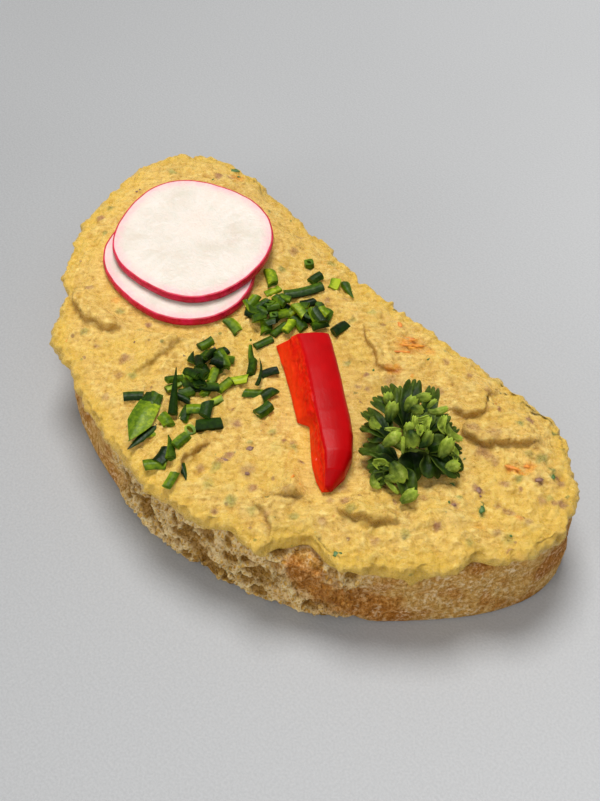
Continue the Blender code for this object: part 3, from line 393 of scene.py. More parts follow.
class Graph:
    """A material's node tree, with short forms for the nodes that the finishes use."""

    def __init__(self, name):
        self.material = bpy.data.materials.new(name)
        self.material.use_nodes = True
        self.tree = self.material.node_tree
        self.shader = self.tree.nodes["Principled BSDF"]
        place = self.node("ShaderNodeTexCoord").outputs["Object"]
        scaled = self.node("ShaderNodeVectorMath", operation="SCALE")
        self.tree.links.new(place, scaled.inputs[0])
        scaled.inputs["Scale"].default_value = 1.0 / MM
        self.place = scaled.outputs[0]  # in mm

    def node(self, kind, **settings):
        made = self.tree.nodes.new(kind)
        for key, value in settings.items():
            setattr(made, key, value)
        return made

    def put(self, socket, value):
        """Links a socket to an output, or sets it."""
        if isinstance(value, bpy.types.NodeSocket):
            self.tree.links.new(value, socket)
        else:
            socket.default_value = value

    def set(self, **inputs):
        for key, value in inputs.items():
            self.put(self.shader.inputs[key.replace("_", " ")], value)

    def noise(self, size, detail=3.0, rough=0.5, warp=0.0, stretch=None):
        """Noise from 0 to 1. stretch is a heading, and how many times longer the grain is that way."""
        made = self.node("ShaderNodeTexNoise")
        vector = self.place
        if stretch is not None:
            mapping = self.node("ShaderNodeMapping", vector_type="TEXTURE")
            self.put(mapping.inputs["Vector"], vector)
            mapping.inputs["Rotation"].default_value = (0.0, 0.0, math.radians(stretch[0]))
            mapping.inputs["Scale"].default_value = (stretch[1], 1.0, 1.0)
            vector = mapping.outputs[0]
        self.put(made.inputs["Vector"], vector)
        made.inputs["Scale"].default_value = 1.0 / size
        made.inputs["Detail"].default_value = detail
        made.inputs["Roughness"].default_value = rough
        made.inputs["Distortion"].default_value = warp
        return made.outputs["Fac"]

    def voronoi(self, cell, waves, warp, **settings):
        """Cells of this size. warp is how far noise with this many waves a cell moves their walls."""
        wander = self.node("ShaderNodeTexNoise")
        self.put(wander.inputs["Vector"], self.place)
        wander.inputs["Scale"].default_value = waves / cell
        moved = self.node("ShaderNodeVectorMath", operation="MULTIPLY_ADD")
        self.put(moved.inputs[0], wander.outputs["Color"])
        moved.inputs[1].default_value = (warp * cell,) * 3
        self.put(moved.inputs[2], self.place)
        made = self.node("ShaderNodeTexVoronoi", **settings)
        self.put(made.inputs["Vector"], moved.outputs[0])
        made.inputs["Scale"].default_value = 1.0 / cell
        return made

    def cells(self, size, warp):
        """How far a point lies from the walls of a foam's cells, in cells."""
        return self.voronoi(size, 1.2, warp, feature="DISTANCE_TO_EDGE").outputs["Distance"]

    def attribute(self, name):
        return self.node("ShaderNodeAttribute", attribute_name=name).outputs["Fac"]

    def math(self, operation, a, b):
        made = self.node("ShaderNodeMath", operation=operation)
        self.put(made.inputs[0], a)
        self.put(made.inputs[1], b)
        return made.outputs[0]

    def span(self, value, low, high, to_low=0.0, to_high=1.0):
        made = self.node("ShaderNodeMapRange", interpolation_type="SMOOTHSTEP")
        for socket, number in zip(made.inputs[:5], (value, low, high, to_low, to_high)):
            self.put(socket, number)
        return made.outputs[0]

    def mix(self, share, a, b):
        made = self.node("ShaderNodeMix", data_type="RGBA")
        for socket, value in zip((made.inputs[0], made.inputs[6], made.inputs[7]), (share, a, b)):
            if isinstance(value, tuple) and len(value) == 3:
                value = (*value, 1.0)
            self.put(socket, value)
        return made.outputs[2]

    def over(self, colour, mask, strength, tint):
        """The colour with a tint over it where the mask is, at this strength."""
        return self.mix(self.math("MULTIPLY", mask, strength), colour, tint)

    def finish(self, colour, roughness, shine, soft, depth, tinge):
        """Sets the surface. soft is how much light enters it, and depth how far in mm."""
        self.set(Base_Color=colour, Roughness=roughness, Specular_IOR_Level=shine, Subsurface_Weight=soft,
                 Subsurface_Scale=depth * MM, Subsurface_Radius=tinge)

    def ramp(self, value, *stops):
        made = self.node("ShaderNodeValToRGB")
        elements = made.color_ramp.elements
        while len(elements) < len(stops):
            elements.new(0.5)
        for element, (place, colour) in zip(elements, stops):
            element.position = place
            element.color = (*colour, 1.0)
        self.put(made.inputs[0], value)
        return made.outputs["Color"]

    def specks(self, cell, radius, share, soft=0.06, warp=0.5):
        """A mask of scattered specks and a random number for each. radius is in cells, and share is
        how many cells have one."""
        voronoi = self.voronoi(cell, 1.6, warp)
        parts = self.node("ShaderNodeSeparateColor")
        self.put(parts.inputs[0], voronoi.outputs["Color"])
        reach = self.span(parts.outputs[0], 1.0 - share, 1.0, -soft, radius)
        inside = self.math("SUBTRACT", reach, voronoi.outputs["Distance"])
        return self.span(inside, -soft, soft), parts.outputs[1]

    def bump(self, *layers):
        """Layers of (height output, depth in mm)."""
        normal = None
        for height, depth in layers:
            made = self.node("ShaderNodeBump")
            made.inputs["Distance"].default_value = depth * MM
            self.put(made.inputs["Height"], height)
            if normal is not None:
                self.put(made.inputs["Normal"], normal)
            normal = made.outputs[0]
        self.set(Normal=normal)


def make_piece(name, verts, faces, material, replaces=(), values=None, sharp=None):
    """A piece of the sandwich from points in mm and faces, with a number at each point for each value."""
    mesh = bpy.data.meshes.new(name)
    mesh.from_pydata((np.asarray(verts) * MM).tolist(), [], [list(face) for face in faces])
    for key, numbers in (values or {}).items():
        layer = mesh.attributes.new(key, "FLOAT", "POINT")
        layer.data.foreach_set("value", np.asarray(numbers, np.float32))
    mesh.validate()
    mesh.materials.append(material)
    mesh.shade_smooth()
    if sharp is not None:
        mesh.set_sharp_from_angle(angle=math.radians(sharp))
    piece = bpy.data.objects.new(name, mesh)
    bpy.context.scene.collection.objects.link(piece)
    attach(piece, "root")
    if replaces:
        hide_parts(*replaces)
    return piece


def lattice(rows, columns, first=0, closed=True):
    """Quads between rows of points. Each row is a closed ring, or an open line."""
    faces = []
    steps = columns if closed else columns - 1
    for row in range(rows - 1):
        low, high = first + row * columns, first + (row + 1) * columns
        for k in range(steps):
            after = (k + 1) % columns
            faces.append((low + k, low + after, high + after, high + k))
    return faces


def capped(rows, columns):
    """Quads between closed rings of points, a face over the first ring and one over the last."""
    first = tuple(range(columns - 1, -1, -1))
    last = tuple(range((rows - 1) * columns, rows * columns))
    return [*lattice(rows, columns), first, last]


def sheet_grid(rows, columns):
    """Shares from 0 to 1 along a sheet, and from -1 to 1 across it."""
    return np.meshgrid(np.linspace(0.0, 1.0, rows), np.linspace(-1.0, 1.0, columns), indexing="ij")


class Heap:
    """Gathers many small shapes into the points, faces and values of one mesh."""

    def __init__(self, *keys):
        self.verts, self.faces, self.count = [], [], 0
        self.values = {key: [] for key in keys}

    def add(self, verts, faces, **values):
        self.verts.append(verts)
        self.faces += [tuple(index + self.count for index in face) for face in faces]
        self.count += len(verts)
        for key, numbers in values.items():
            self.values[key].append(np.broadcast_to(numbers, len(verts)))

    def piece(self, name, material, slot, replaces=(), sharp=None):
        verts = np.concatenate(self.verts)
        values = {key: np.concatenate(parts) for key, parts in self.values.items()}
        return make_piece(name, verts, self.faces, material, replaces, values, sharp)


# The form of the spread

def spread_edge(count):
    """The slice's edge, its normals, how far the spread's edge stands out of it, and how far it hangs."""
    ring = smooth_line(SLICE_EDGE, count, closed=True)
    out = EDGE_OUT + EDGE_WAVE * noise_at(ring[:, 0], ring[:, 1], 0.0, EDGE_WAVE_SIZE)
    out += EDGE_RAGGED * noise_at(ring[:, 0], ring[:, 1], 5.0, EDGE_RAGGED_SIZE)
    hang = np.zeros(count)
    for x, y, reach, spot_out, spot_hang in RIM_SPOTS:
        share = bell(np.hypot(ring[:, 0] - x, ring[:, 1] - y), reach)
        out += spot_out * share
        hang += spot_hang * share
    return ring, outward(ring), out, hang


def lip_fold(x, y, rise, reach, soft, line):
    """A fold's height, how far its rolled edge leans over the low side, and the shade under it."""
    line = smooth_line(line, 40)
    along = np.gradient(line, axis=0)
    along /= np.linalg.norm(along, axis=1, keepdims=True)
    away = np.hypot(x[:, None] - line[:, 0], y[:, None] - line[:, 1])
    nearest = away.argmin(axis=1)
    dx, dy = x - line[nearest, 0], y - line[nearest, 1]
    side = along[nearest, 0] * dy - along[nearest, 1] * dx
    signed = np.sign(side) * away.min(axis=1)
    signed = signed + LIP_RAGGED * noise_at(x, y, 7.0, LIP_RAGGED_SIZE)
    share = nearest / (len(line) - 1)
    ends = ease(share / LIP_FADE) * ease((1.0 - share) / LIP_FADE)
    step = 1.0 / (1.0 + np.exp(-np.clip(signed / soft, -30, 30) * 2.0))
    fade = np.exp(-np.maximum(signed, 0.0) / reach)
    crest = LIP_CREST * bell(signed - 0.9, 0.8)
    lean = -LIP_OVERHANG * rise / 1.4 * ends * step * np.exp(-np.maximum(signed, 0.0) / 1.6)
    shade = ends * bell(signed + 0.30, 0.50) * min(rise / 1.6, 1.0) * min(0.5 / soft, 1.0)
    return rise * ends * (step * fade + crest), -along[nearest, 1] * lean, along[nearest, 0] * lean, shade


def lean_plane(x, y, x0, y0, height):
    """The height of a plane through (x0, y0, height) that leans towards the viewer's heading."""
    return height - ((x - x0) * math.cos(VIEWER) + (y - y0) * math.sin(VIEWER)) * math.tan(RADISH_LEAN)


def pepper_section(share):
    """Middle, sideways direction, and flesh, ridge, skin and height sizes, along the pepper strip."""
    line = smooth_line(PEPPER_LINE, PEPPER_POINTS)
    at = share * (len(line) - 1)
    index = np.arange(len(line))
    middle = np.stack([np.interp(at, index, line[:, axis]) for axis in range(2)], axis=-1)
    along = np.gradient(line, axis=0)
    along = np.stack([np.interp(at, index, along[:, axis]) for axis in range(2)], axis=-1)
    along /= np.linalg.norm(along, axis=-1, keepdims=True)
    side = np.stack([-along[..., 1], along[..., 0]], axis=-1)
    lists = (PEPPER_FLESH, PEPPER_RIDGE, PEPPER_SKIN, PEPPER_HEIGHT)
    return middle, side, *[np.interp(share, PEPPER_KNOTS, sizes) for sizes in lists]


def seats(x, y, height):
    """Levels the spread under what lies on it, and says how much of each point is levelled."""
    x0, y0, radius, _ = RADISHES["radish_lower"]
    share = ease(1.0 - (np.hypot(x - x0, y - y0) - radius - SEAT_FLAT) / SEAT_MARGIN)
    height = height + (lean_plane(x, y, x0, y0, RADISH_SEAT) - height) * share
    pressed = share
    middle, side, flesh, _, skin, _ = pepper_section(np.linspace(0.0, 1.0, 40))
    middle = middle + side * ((skin - flesh) / 2)[:, None]
    away = np.hypot(x[:, None] - middle[:, 0], y[:, None] - middle[:, 1]) - (flesh + skin) / 2
    share = ease(1.0 - (away.min(axis=1) - SEAT_FLAT) / SEAT_MARGIN)
    height = height + (PEPPER_SEAT - height) * share
    pressed = np.maximum(pressed, share)
    share = ease(1.0 - (np.hypot(x - PARSLEY_FOOT[0], y - PARSLEY_FOOT[1]) - PARSLEY_BED) / SEAT_MARGIN)
    return height + (PARSLEY_SEAT - height) * share, np.maximum(pressed, share)


def paste_relief(x, y):
    """Grain, lumps and knife strokes of the paste."""
    first, second = (turned(x, y, heading) for heading in STROKES)
    patch = ease(0.62 + 1.6 * noise_at(x, y, 5.0, 17.0))
    strokes = patch * noise_at(first[0] / 4.0, first[1], 0.0, 1.1)
    strokes = strokes + (1.0 - patch) * noise_at(second[0] / 3.2, second[1], 4.0, 1.2)
    torn = 1.0 - np.abs(noise_at(x, y, 1.0, 2.2)) * 2.4
    lumps = noise_at(x, y, 9.0, 3.0)
    grain = noise_at(x, y, 2.0, 0.95)
    return 0.46 * strokes + 0.30 * torn + 0.46 * lumps + 0.48 * grain


def stains_at(x, y):
    """How much brown, green and orange shows through the paste at each point."""
    found = np.zeros((3, len(x)))
    x = x + 0.45 * noise_at(x, y, 0.0, 1.0)
    y = y + 0.45 * noise_at(x, y, 8.0, 1.0)
    for shown, stains in zip(found, STAINS.values()):
        for pixel_x, pixel_y, radius, strength in stains:
            stain_x, stain_y = seen_at(pixel_x, pixel_y, STAIN_LEVEL)
            away = np.hypot(x - stain_x, y - stain_y) / (radius * STAIN_GROWTH)
            near = away < STAIN_FADE
            shown[near] = np.maximum(shown[near], strength**0.6 * ease(STAIN_FADE - away[near]))
    shred_x, shred_y = PEPPER_SHRED
    along, across = turned(x - shred_x, y - shred_y, SHRED_HEADING)
    strands = 0.5 + 0.9 * noise_at(along / 4.0, across, 3.0, 0.55)
    patch = ease(1.25 - np.hypot(along / 3.6, across / 2.7))
    found[2] = np.maximum(found[2], 0.95 * patch * np.clip(strands + 0.25, 0.0, 1.0))
    found[0] = np.maximum(found[0], 0.5 * patch * np.clip(0.7 - strands, 0.0, 1.0))
    return found


def spread_surface(x, y):
    """Height of the paste, how far it leans sideways, how much it is pressed, its fine relief and the
    shade under its folds."""
    ring, normal, out, _ = spread_edge(EDGE_POINTS // 3)
    edge = ring + normal * out[:, None]
    gap = np.concatenate([
        np.hypot(a[:, None] - edge[:, 0], b[:, None] - edge[:, 1]).min(axis=1)
        for a, b in zip(np.array_split(x, 24), np.array_split(y, 24))
    ])
    height = SPREAD_FLOOR + SPREAD_RIM + (SPREAD_THICK - SPREAD_RIM) * ease(gap / SPREAD_SHOULDER)
    mound_x, mound_y, mound_radius, mound_height = FAR_MOUND
    rough = mound_height * bell(np.hypot(x - mound_x, y - mound_y), mound_radius)
    for size, wave in WAVES:
        rough = rough + wave * noise_at(x, y, 0.0, size)
    lean_x = lean_y = shade = 0.0
    for fold in LIPS:
        rise, over_x, over_y, under = lip_fold(x, y, *fold)
        rough, lean_x, lean_y = rough + rise, lean_x + over_x, lean_y + over_y
        shade = np.maximum(shade, under)
    for dent_x, dent_y, radius, depth in DENTS:
        rough = rough - depth * bell(np.hypot(x - dent_x, y - dent_y), radius)
    calm = RIM_CALM + (1.0 - RIM_CALM) * ease(gap / RIM_CALM_REACH)
    height, pressed = seats(x, y, height + rough * calm)
    free = 1.0 - pressed
    fine = paste_relief(x, y) * (1.0 - SEAT_CALM * pressed)
    return height + fine, lean_x * free, lean_y * free, pressed, fine, shade * free


def spread_material():
    g = Graph("spread_paste")
    broad = g.noise(11.0, detail=3.0)
    patch = g.noise(3.6, detail=4.0, rough=0.6, warp=0.8)
    fine = g.noise(1.2, detail=5.0, rough=0.68, warp=0.5)
    streak = g.noise(0.65, detail=4.0, rough=0.62, stretch=(STROKES[0], 3.4))
    grain = g.noise(0.34, detail=3.0, rough=0.7)
    mixed = g.math("ADD", g.math("MULTIPLY", fine, 0.55), g.math("MULTIPLY", streak, 0.45))
    colour = g.ramp(mixed, (0.34, (0.46, 0.240, 0.038)), (0.44, (0.72, 0.430, 0.084)),
                    (0.55, (0.88, 0.590, 0.145)), (0.66, (1.0, 0.78, 0.28)))
    colour = g.mix(g.span(patch, 0.50, 0.68, 0.0, 0.30), colour, (0.82, 0.57, 0.19))
    colour = g.mix(g.span(broad, 0.42, 0.62, 0.0, 0.35), colour, (0.84, 0.54, 0.062))
    # Painted shade: darker brown in the hollows of the fine relief.
    low = g.span(g.attribute("fine"), -0.70, -0.08, 1.0, 0.0)
    colour = g.over(colour, low, 0.55, (0.50, 0.26, 0.026))
    # Painted highlight: paler cream on the high spots of the fine relief.
    high = g.span(g.attribute("fine"), 0.25, 0.70)
    colour = g.over(colour, high, 0.45, (0.92, 0.68, 0.21))
    # Over the brim and the top's outer edge: partly painted shade where the paste turns down, partly the
    # paste's deeper yellow where it lies thick.
    colour = g.over(colour, g.attribute("brink"), 0.45, (0.76, 0.47, 0.034))
    colour = g.over(colour, g.attribute("shade"), 0.75, (0.40, 0.19, 0.022))
    smudge, pick = g.specks(5.0, 0.34, 0.50, soft=0.18, warp=1.1)
    tint = g.ramp(pick, (0.0, (0.62, 0.56, 0.13)), (0.5, (0.70, 0.46, 0.19)), (1.0, (1.0, 0.52, 0.05)))
    colour = g.over(colour, smudge, 0.28, tint)
    specks, pick = g.specks(2.2, 0.19, 0.42, soft=0.07)
    tint = g.ramp(pick, (0.0, (0.15, 0.17, 0.025)), (0.40, (0.22, 0.22, 0.04)), (0.45, (0.26, 0.105, 0.045)),
                  (0.85, (0.36, 0.17, 0.07)), (0.9, (0.90, 0.32, 0.02)), (1.0, (0.90, 0.38, 0.03)))
    colour = g.over(colour, specks, 0.70, tint)
    dots, pick = g.specks(0.95, 0.18, 0.38, soft=0.06)
    tint = g.ramp(pick, (0.0, (0.30, 0.27, 0.05)), (0.5, (0.42, 0.22, 0.07)), (1.0, (0.72, 0.36, 0.04)))
    colour = g.over(colour, dots, 0.55, tint)
    # Painted glints: pale specks that stand in for the wet paste's tiny highlights.
    pale, _ = g.specks(0.62, 0.22, 0.42, soft=0.07)
    colour = g.over(colour, pale, 0.60, (0.96, 0.74, 0.31))
    brown = g.ramp(fine, (0.35, (0.20, 0.062, 0.032)), (0.62, (0.52, 0.26, 0.12)))
    green = g.ramp(fine, (0.35, (0.060, 0.095, 0.014)), (0.62, (0.36, 0.38, 0.080)))
    orange = g.ramp(streak, (0.35, (0.62, 0.16, 0.012)), (0.62, (0.96, 0.42, 0.030)))
    for name, tint in zip(STAINS, (brown, green, orange)):
        colour = g.over(colour, g.attribute(name), 0.95, tint)
    g.finish(colour, g.span(grain, 0.35, 0.65, 0.16, 0.38), 0.50, 0.10, 0.6, (1.0, 0.62, 0.25))
    g.bump((fine, 0.44), (streak, 0.24), (grain, 0.34))
    return g.material


def make_spread():
    cells_u, cells_v = SPREAD_CELLS
    u, v = np.meshgrid(np.linspace(-1, 1, cells_u + 1), np.linspace(-1, 1, cells_v + 1), indexing="ij")
    disc_x, disc_y = (u * np.sqrt(1 - v * v / 2)).ravel(), (v * np.sqrt(1 - u * u / 2)).ravel()
    reach, turn = np.hypot(disc_x, disc_y), np.arctan2(disc_y, disc_x)

    ring, normal, out, hang = spread_edge(EDGE_POINTS)
    brink = ring + normal * (out - SPREAD_ROUND)[:, None]
    ring_turn = np.arctan2(brink[:, 1] / SPREAD_HALF[1], brink[:, 0] / SPREAD_HALF[0])

    def along_edge(values, where):
        return np.interp(where, ring_turn, values, period=math.tau)

    x = reach * along_edge(brink[:, 0], turn)
    y = reach * along_edge(brink[:, 1], turn)
    height, lean_x, lean_y, _, fine, shade = spread_surface(x, y)
    verts = [np.stack([x + lean_x, y + lean_y, height], axis=1)]
    values = [fine]
    tints = stains_at(x, y)

    def index(i, j):
        return i * (cells_v + 1) + j

    faces = [
        (index(i, j), index(i + 1, j), index(i + 1, j + 1), index(i, j + 1))
        for i in range(cells_u) for j in range(cells_v)
    ]
    border = [index(i, 0) for i in range(cells_u)] + [index(cells_u, j) for j in range(cells_v)]
    border += [index(i, cells_v) for i in range(cells_u, 0, -1)]
    border += [index(0, j) for j in range(cells_v, 0, -1)]
    border = np.array(border)
    around = len(border)
    where = turn[border]
    edge = np.stack([along_edge(ring[:, axis], where) for axis in range(2)], axis=1)
    away = np.stack([along_edge(normal[:, axis], where) for axis in range(2)], axis=1)
    away /= np.linalg.norm(away, axis=1, keepdims=True)
    out, hang = along_edge(out, where), along_edge(hang, where)
    for drip_x, drip_y, drip_reach, drop in DRIPS:
        hang = hang + drop * bell(np.hypot(edge[:, 0] - drip_x, edge[:, 1] - drip_y), drip_reach)
    start = verts[0][border]
    lower = 1.2 * np.clip(noise_at(edge[:, 0], edge[:, 1], 3.0, 2.4), -0.25, 1.0)
    lower = lower + 2.2 * np.clip(noise_at(edge[:, 0], edge[:, 1], 6.0, 1.0) - 0.15, 0.0, 1.0)
    proud = ease((out - 0.1) / 0.5)
    foot = SPREAD_FLOOR - hang - 0.9 * lower * proud
    brim = start[:, 2] - foot
    for out_share, drop in smooth_line(BRIM_ROLL, 11)[1:]:
        ring_xy = start[:, :2] + away * (out_share * SPREAD_ROUND)
        level = start[:, 2] - drop * brim
        lumps = 0.95 * noise_at(ring_xy[:, 0], ring_xy[:, 1], level, 2.6)
        lumps = lumps + 0.5 * noise_at(ring_xy[:, 0], ring_xy[:, 1], level, 1.1)
        swell = math.sin(math.pi * min(drop + 0.12, 1.0)) + 0.15
        verts.append(np.column_stack([ring_xy + away * (lumps * swell)[:, None], level]))
        values.append(lumps * swell)
    inside = np.minimum(out - 1.6 * SPREAD_ROUND, RIM_INSET)
    for back, level in ((0.0, foot + 0.1), (RIM_ROOT, np.full(around, SPREAD_FLOOR))):
        verts.append(np.column_stack([edge + away * (inside - back)[:, None], level]))
        values.append(np.zeros(around))
    first = len(x)
    for k in range(around):
        after = (k + 1) % around
        faces.append((int(border[k]), first + k, first + after, int(border[after])))
    faces += [face[::-1] for face in lattice(len(verts) - 1, around, first)]
    last = first + (len(verts) - 2) * around
    faces.append(tuple(range(last + around - 1, last - 1, -1)))
    count = sum(len(part) for part in verts)
    values = {"fine": np.concatenate(values)}
    for name, shown in zip((*STAINS, "shade"), (*tints, shade)):
        values[name] = np.concatenate([shown, np.zeros(count - len(shown))])
    values["brink"] = np.concatenate([ease((reach - 0.93) / 0.07), np.ones(count - len(reach))])
    verts = np.concatenate(verts)
    return make_piece("spread_paste", verts, faces, spread_material(), ["spread"], values)


# The bread

def bread_material():
    g = Graph("bread_loaf")
    crumb, toast = g.attribute("crumb"), g.attribute("toast")
    deep = g.attribute("deep")
    broad, fine = g.noise(5.0, detail=4.0), g.noise(0.9, detail=5.0, rough=0.68)
    grain = g.noise(0.3, detail=3.0, rough=0.7)
    cells = g.cells(0.95, warp=0.7)
    crust = g.ramp(fine, (0.32, (0.45, 0.205, 0.036)), (0.50, (0.66, 0.365, 0.092)),
                   (0.66, (0.88, 0.61, 0.24)))
    baked = g.ramp(fine, (0.30, (0.22, 0.066, 0.006)), (0.50, (0.46, 0.165, 0.018)),
                   (0.70, (0.76, 0.36, 0.060)))
    crust = g.mix(g.span(broad, 0.45, 0.66, 0.0, 0.70), crust, baked)
    open_crumb = g.ramp(fine, (0.34, (0.52, 0.25, 0.036)), (0.49, (0.82, 0.49, 0.115)),
                        (0.62, (1.0, 0.78, 0.34)))
    walls = g.span(cells, 0.03, 0.22, 0.6, 0.0)
    open_crumb = g.mix(walls, open_crumb, (1.0, 0.82, 0.50))
    # Painted shade: darker brown deep in the crumb's open cells and pits.
    pore_shade = g.ramp(fine, (0.3, (0.16, 0.066, 0.005)), (0.7, (0.50, 0.25, 0.032)))
    open_crumb = g.mix(g.span(deep, 0.22, 0.70, 0.0, 0.92), open_crumb, pore_shade)
    colour = g.mix(crumb, crust, open_crumb)
    colour = g.mix(g.span(toast, 0.25, 0.85, 0.0, 0.92), colour, baked)
    flour = g.span(g.noise(0.9, detail=6.0, rough=0.72), 0.46, 0.68, 0.0, 0.80)
    flour = g.math("MULTIPLY", flour, g.span(g.noise(3.4, detail=3.0), 0.38, 0.62, 0.15, 1.0))
    flour = g.math("MULTIPLY", flour, g.span(crumb, 0.2, 0.9, 0.85, 0.30))
    colour = g.mix(flour, colour, (0.90, 0.72, 0.50))
    g.finish(colour, 0.88, 0.10, 0.08, 0.8, (1.0, 0.6, 0.3))
    g.bump((fine, 0.42), (g.span(cells, 0.0, 0.3, 1.0, 0.0), 0.20), (grain, 0.22))
    return g.material


def make_bread():
    ring = smooth_line(SLICE_EDGE, WALL_AROUND, closed=True)
    normal = outward(ring)
    length = np.linalg.norm(np.roll(ring, -1, axis=0) - ring, axis=1).sum()
    inset, height = smooth_line(SLICE_WALL, WALL_ROWS).T
    height = np.clip(height, 0.0, SLICE_HEIGHT)
    way = np.broadcast_to(np.arange(WALL_AROUND) / WALL_AROUND, (WALL_ROWS, WALL_AROUND))
    z = np.broadcast_to(height[:, None], way.shape)
    x = ring[:, 0] - normal[:, 0] * inset[:, None]
    y = ring[:, 1] - normal[:, 1] * inset[:, None]
    standing = np.sin(np.clip(z / SLICE_HEIGHT, 0.0, 1.0) * math.pi)
    relief = WALL_BUMPS * (noise_at(x, y, z, WALL_BUMP_SIZE) - 0.3)
    draw = np.random.default_rng(7)
    pit_way, pit_height = draw.uniform(*PIT_STRETCH, PIT_COUNT), draw.uniform(*PIT_HEIGHT, PIT_COUNT)
    pit_radius = draw.uniform(*PIT_RADIUS, PIT_COUNT)
    pit_depth = PIT_DEPTH * draw.uniform(0.6, 1.0, PIT_COUNT)
    hollow = np.zeros(way.shape)
    for at, level, radius, depth in zip(pit_way, pit_height, pit_radius, pit_depth):
        hollow = hollow + depth * bell(np.hypot((way - at) * length, z - level), radius)
    start, start_fade, end, end_fade = TORN
    crumb = ease((way - start) / start_fade) * ease((end - way) / end_fade)
    crumb = np.clip(crumb + 0.5 * noise_at(x, y, z, 5.0, 3.0) * (crumb > 0.02), 0.0, 1.0)
    foam = np.zeros(way.shape)
    for size, depth in CELLS:
        foam = foam + depth * ease(cells_at(x, y, z, size) / CELL_WALL)
    relief = (relief - hollow) * standing
    relief = relief + crumb * (1.15 - foam) * ease(standing / 0.35)
    skin = 0.22 * noise_at(x, y, z, 2.4) + 0.12 * noise_at(x, y, z, 0.9)
    relief = relief + (1.0 - 0.5 * crumb) * skin * ease(standing / 0.25)
    x = x + normal[:, 0] * relief
    y = y + normal[:, 1] * relief
    ragged = 1.1 * np.clip(noise_at(x, y, 0.0, 2.3), 0.0, 1.0)
    ragged = ragged + 0.9 * np.clip(noise_at(x, y, 3.0, 0.9), 0.0, 1.0)
    ragged = ragged * (0.12 + 0.88 * crumb)
    for notch_x, notch_y, reach, rise in NOTCHES:
        ragged = ragged + rise * bell(np.hypot(x - notch_x, y - notch_y), reach)
    lifted = z + ragged * (1.0 - ease(z / 4.0)) * ease((6.0 - inset[:, None]) / 3.0)
    toast = np.zeros(way.shape)
    for toast_x, toast_y, toast_z, reach, strength in TOASTS:
        away = np.sqrt((x - toast_x) ** 2 + (y - toast_y) ** 2 + (1.3 * (z - toast_z)) ** 2)
        toast = toast + strength * bell(away, reach)
    toast = toast + 0.35 * noise_at(x, y, z, 2.6, 1.0)
    verts = np.stack([x, y, lifted], axis=-1).reshape(-1, 3)
    # How deep a point lies in the crumb's cells and pits, which the bread's colour darkens there as painted
    # shade.
    deep = (foam / sum(depth for _, depth in CELLS) + hollow * 0.35) * np.maximum(crumb, 0.3)
    values = {"crumb": crumb.ravel(), "toast": toast.ravel(), "deep": deep.ravel()}
    faces = capped(WALL_ROWS, WALL_AROUND)
    return make_piece("bread_loaf", verts, faces, bread_material(), ["bread"], values)


# The radish slices

def radish_material():
    g = Graph("radish_cut")
    skin, edge = g.attribute("skin"), g.attribute("edge")
    veins = g.noise(1.8, detail=5.0, rough=0.62, warp=1.2)
    cloud = g.noise(7.0, detail=3.0)
    fine = g.noise(0.5, detail=3.0)
    flesh = g.ramp(cloud, (0.35, (0.62, 0.60, 0.49)), (0.62, (0.71, 0.70, 0.61)))
    flesh = g.mix(g.span(veins, 0.50, 0.68, 0.0, 0.30), flesh, (0.78, 0.76, 0.70))
    flesh = g.mix(g.span(cloud, 0.52, 0.70, 0.0, 0.35), flesh, (0.72, 0.62, 0.51))
    flesh = g.mix(g.attribute("ray"), flesh, (0.92, 0.91, 0.86))
    blush = g.math("MULTIPLY", g.span(edge, 0.82, 1.0), g.span(veins, 0.35, 0.65, 0.30, 0.85))
    flesh = g.mix(blush, flesh, (0.86, 0.42, 0.48))
    flecks, _ = g.specks(2.6, 0.12, 0.22, soft=0.04)
    flecks = g.math("MULTIPLY", flecks, g.span(edge, 0.86, 0.97))
    flesh = g.over(flesh, flecks, 0.6, (0.42, 0.10, 0.22))
    peel = g.ramp(g.noise(1.4, detail=4.0), (0.3, (0.38, 0.001, 0.016)), (0.55, (0.56, 0.0015, 0.038)),
                  (0.75, (0.68, 0.005, 0.090)))
    nicks, _ = g.specks(2.4, 0.10, 0.16, soft=0.04)
    peel = g.over(peel, nicks, 0.6, (0.85, 0.50, 0.55))
    colour = g.mix(skin, flesh, peel)
    g.finish(colour, g.span(fine, 0.35, 0.65, 0.26, 0.42), 0.25, 0.30, 1.2, (1.0, 0.75, 0.6))
    g.bump((veins, 0.10), (fine, 0.04))
    return g.material


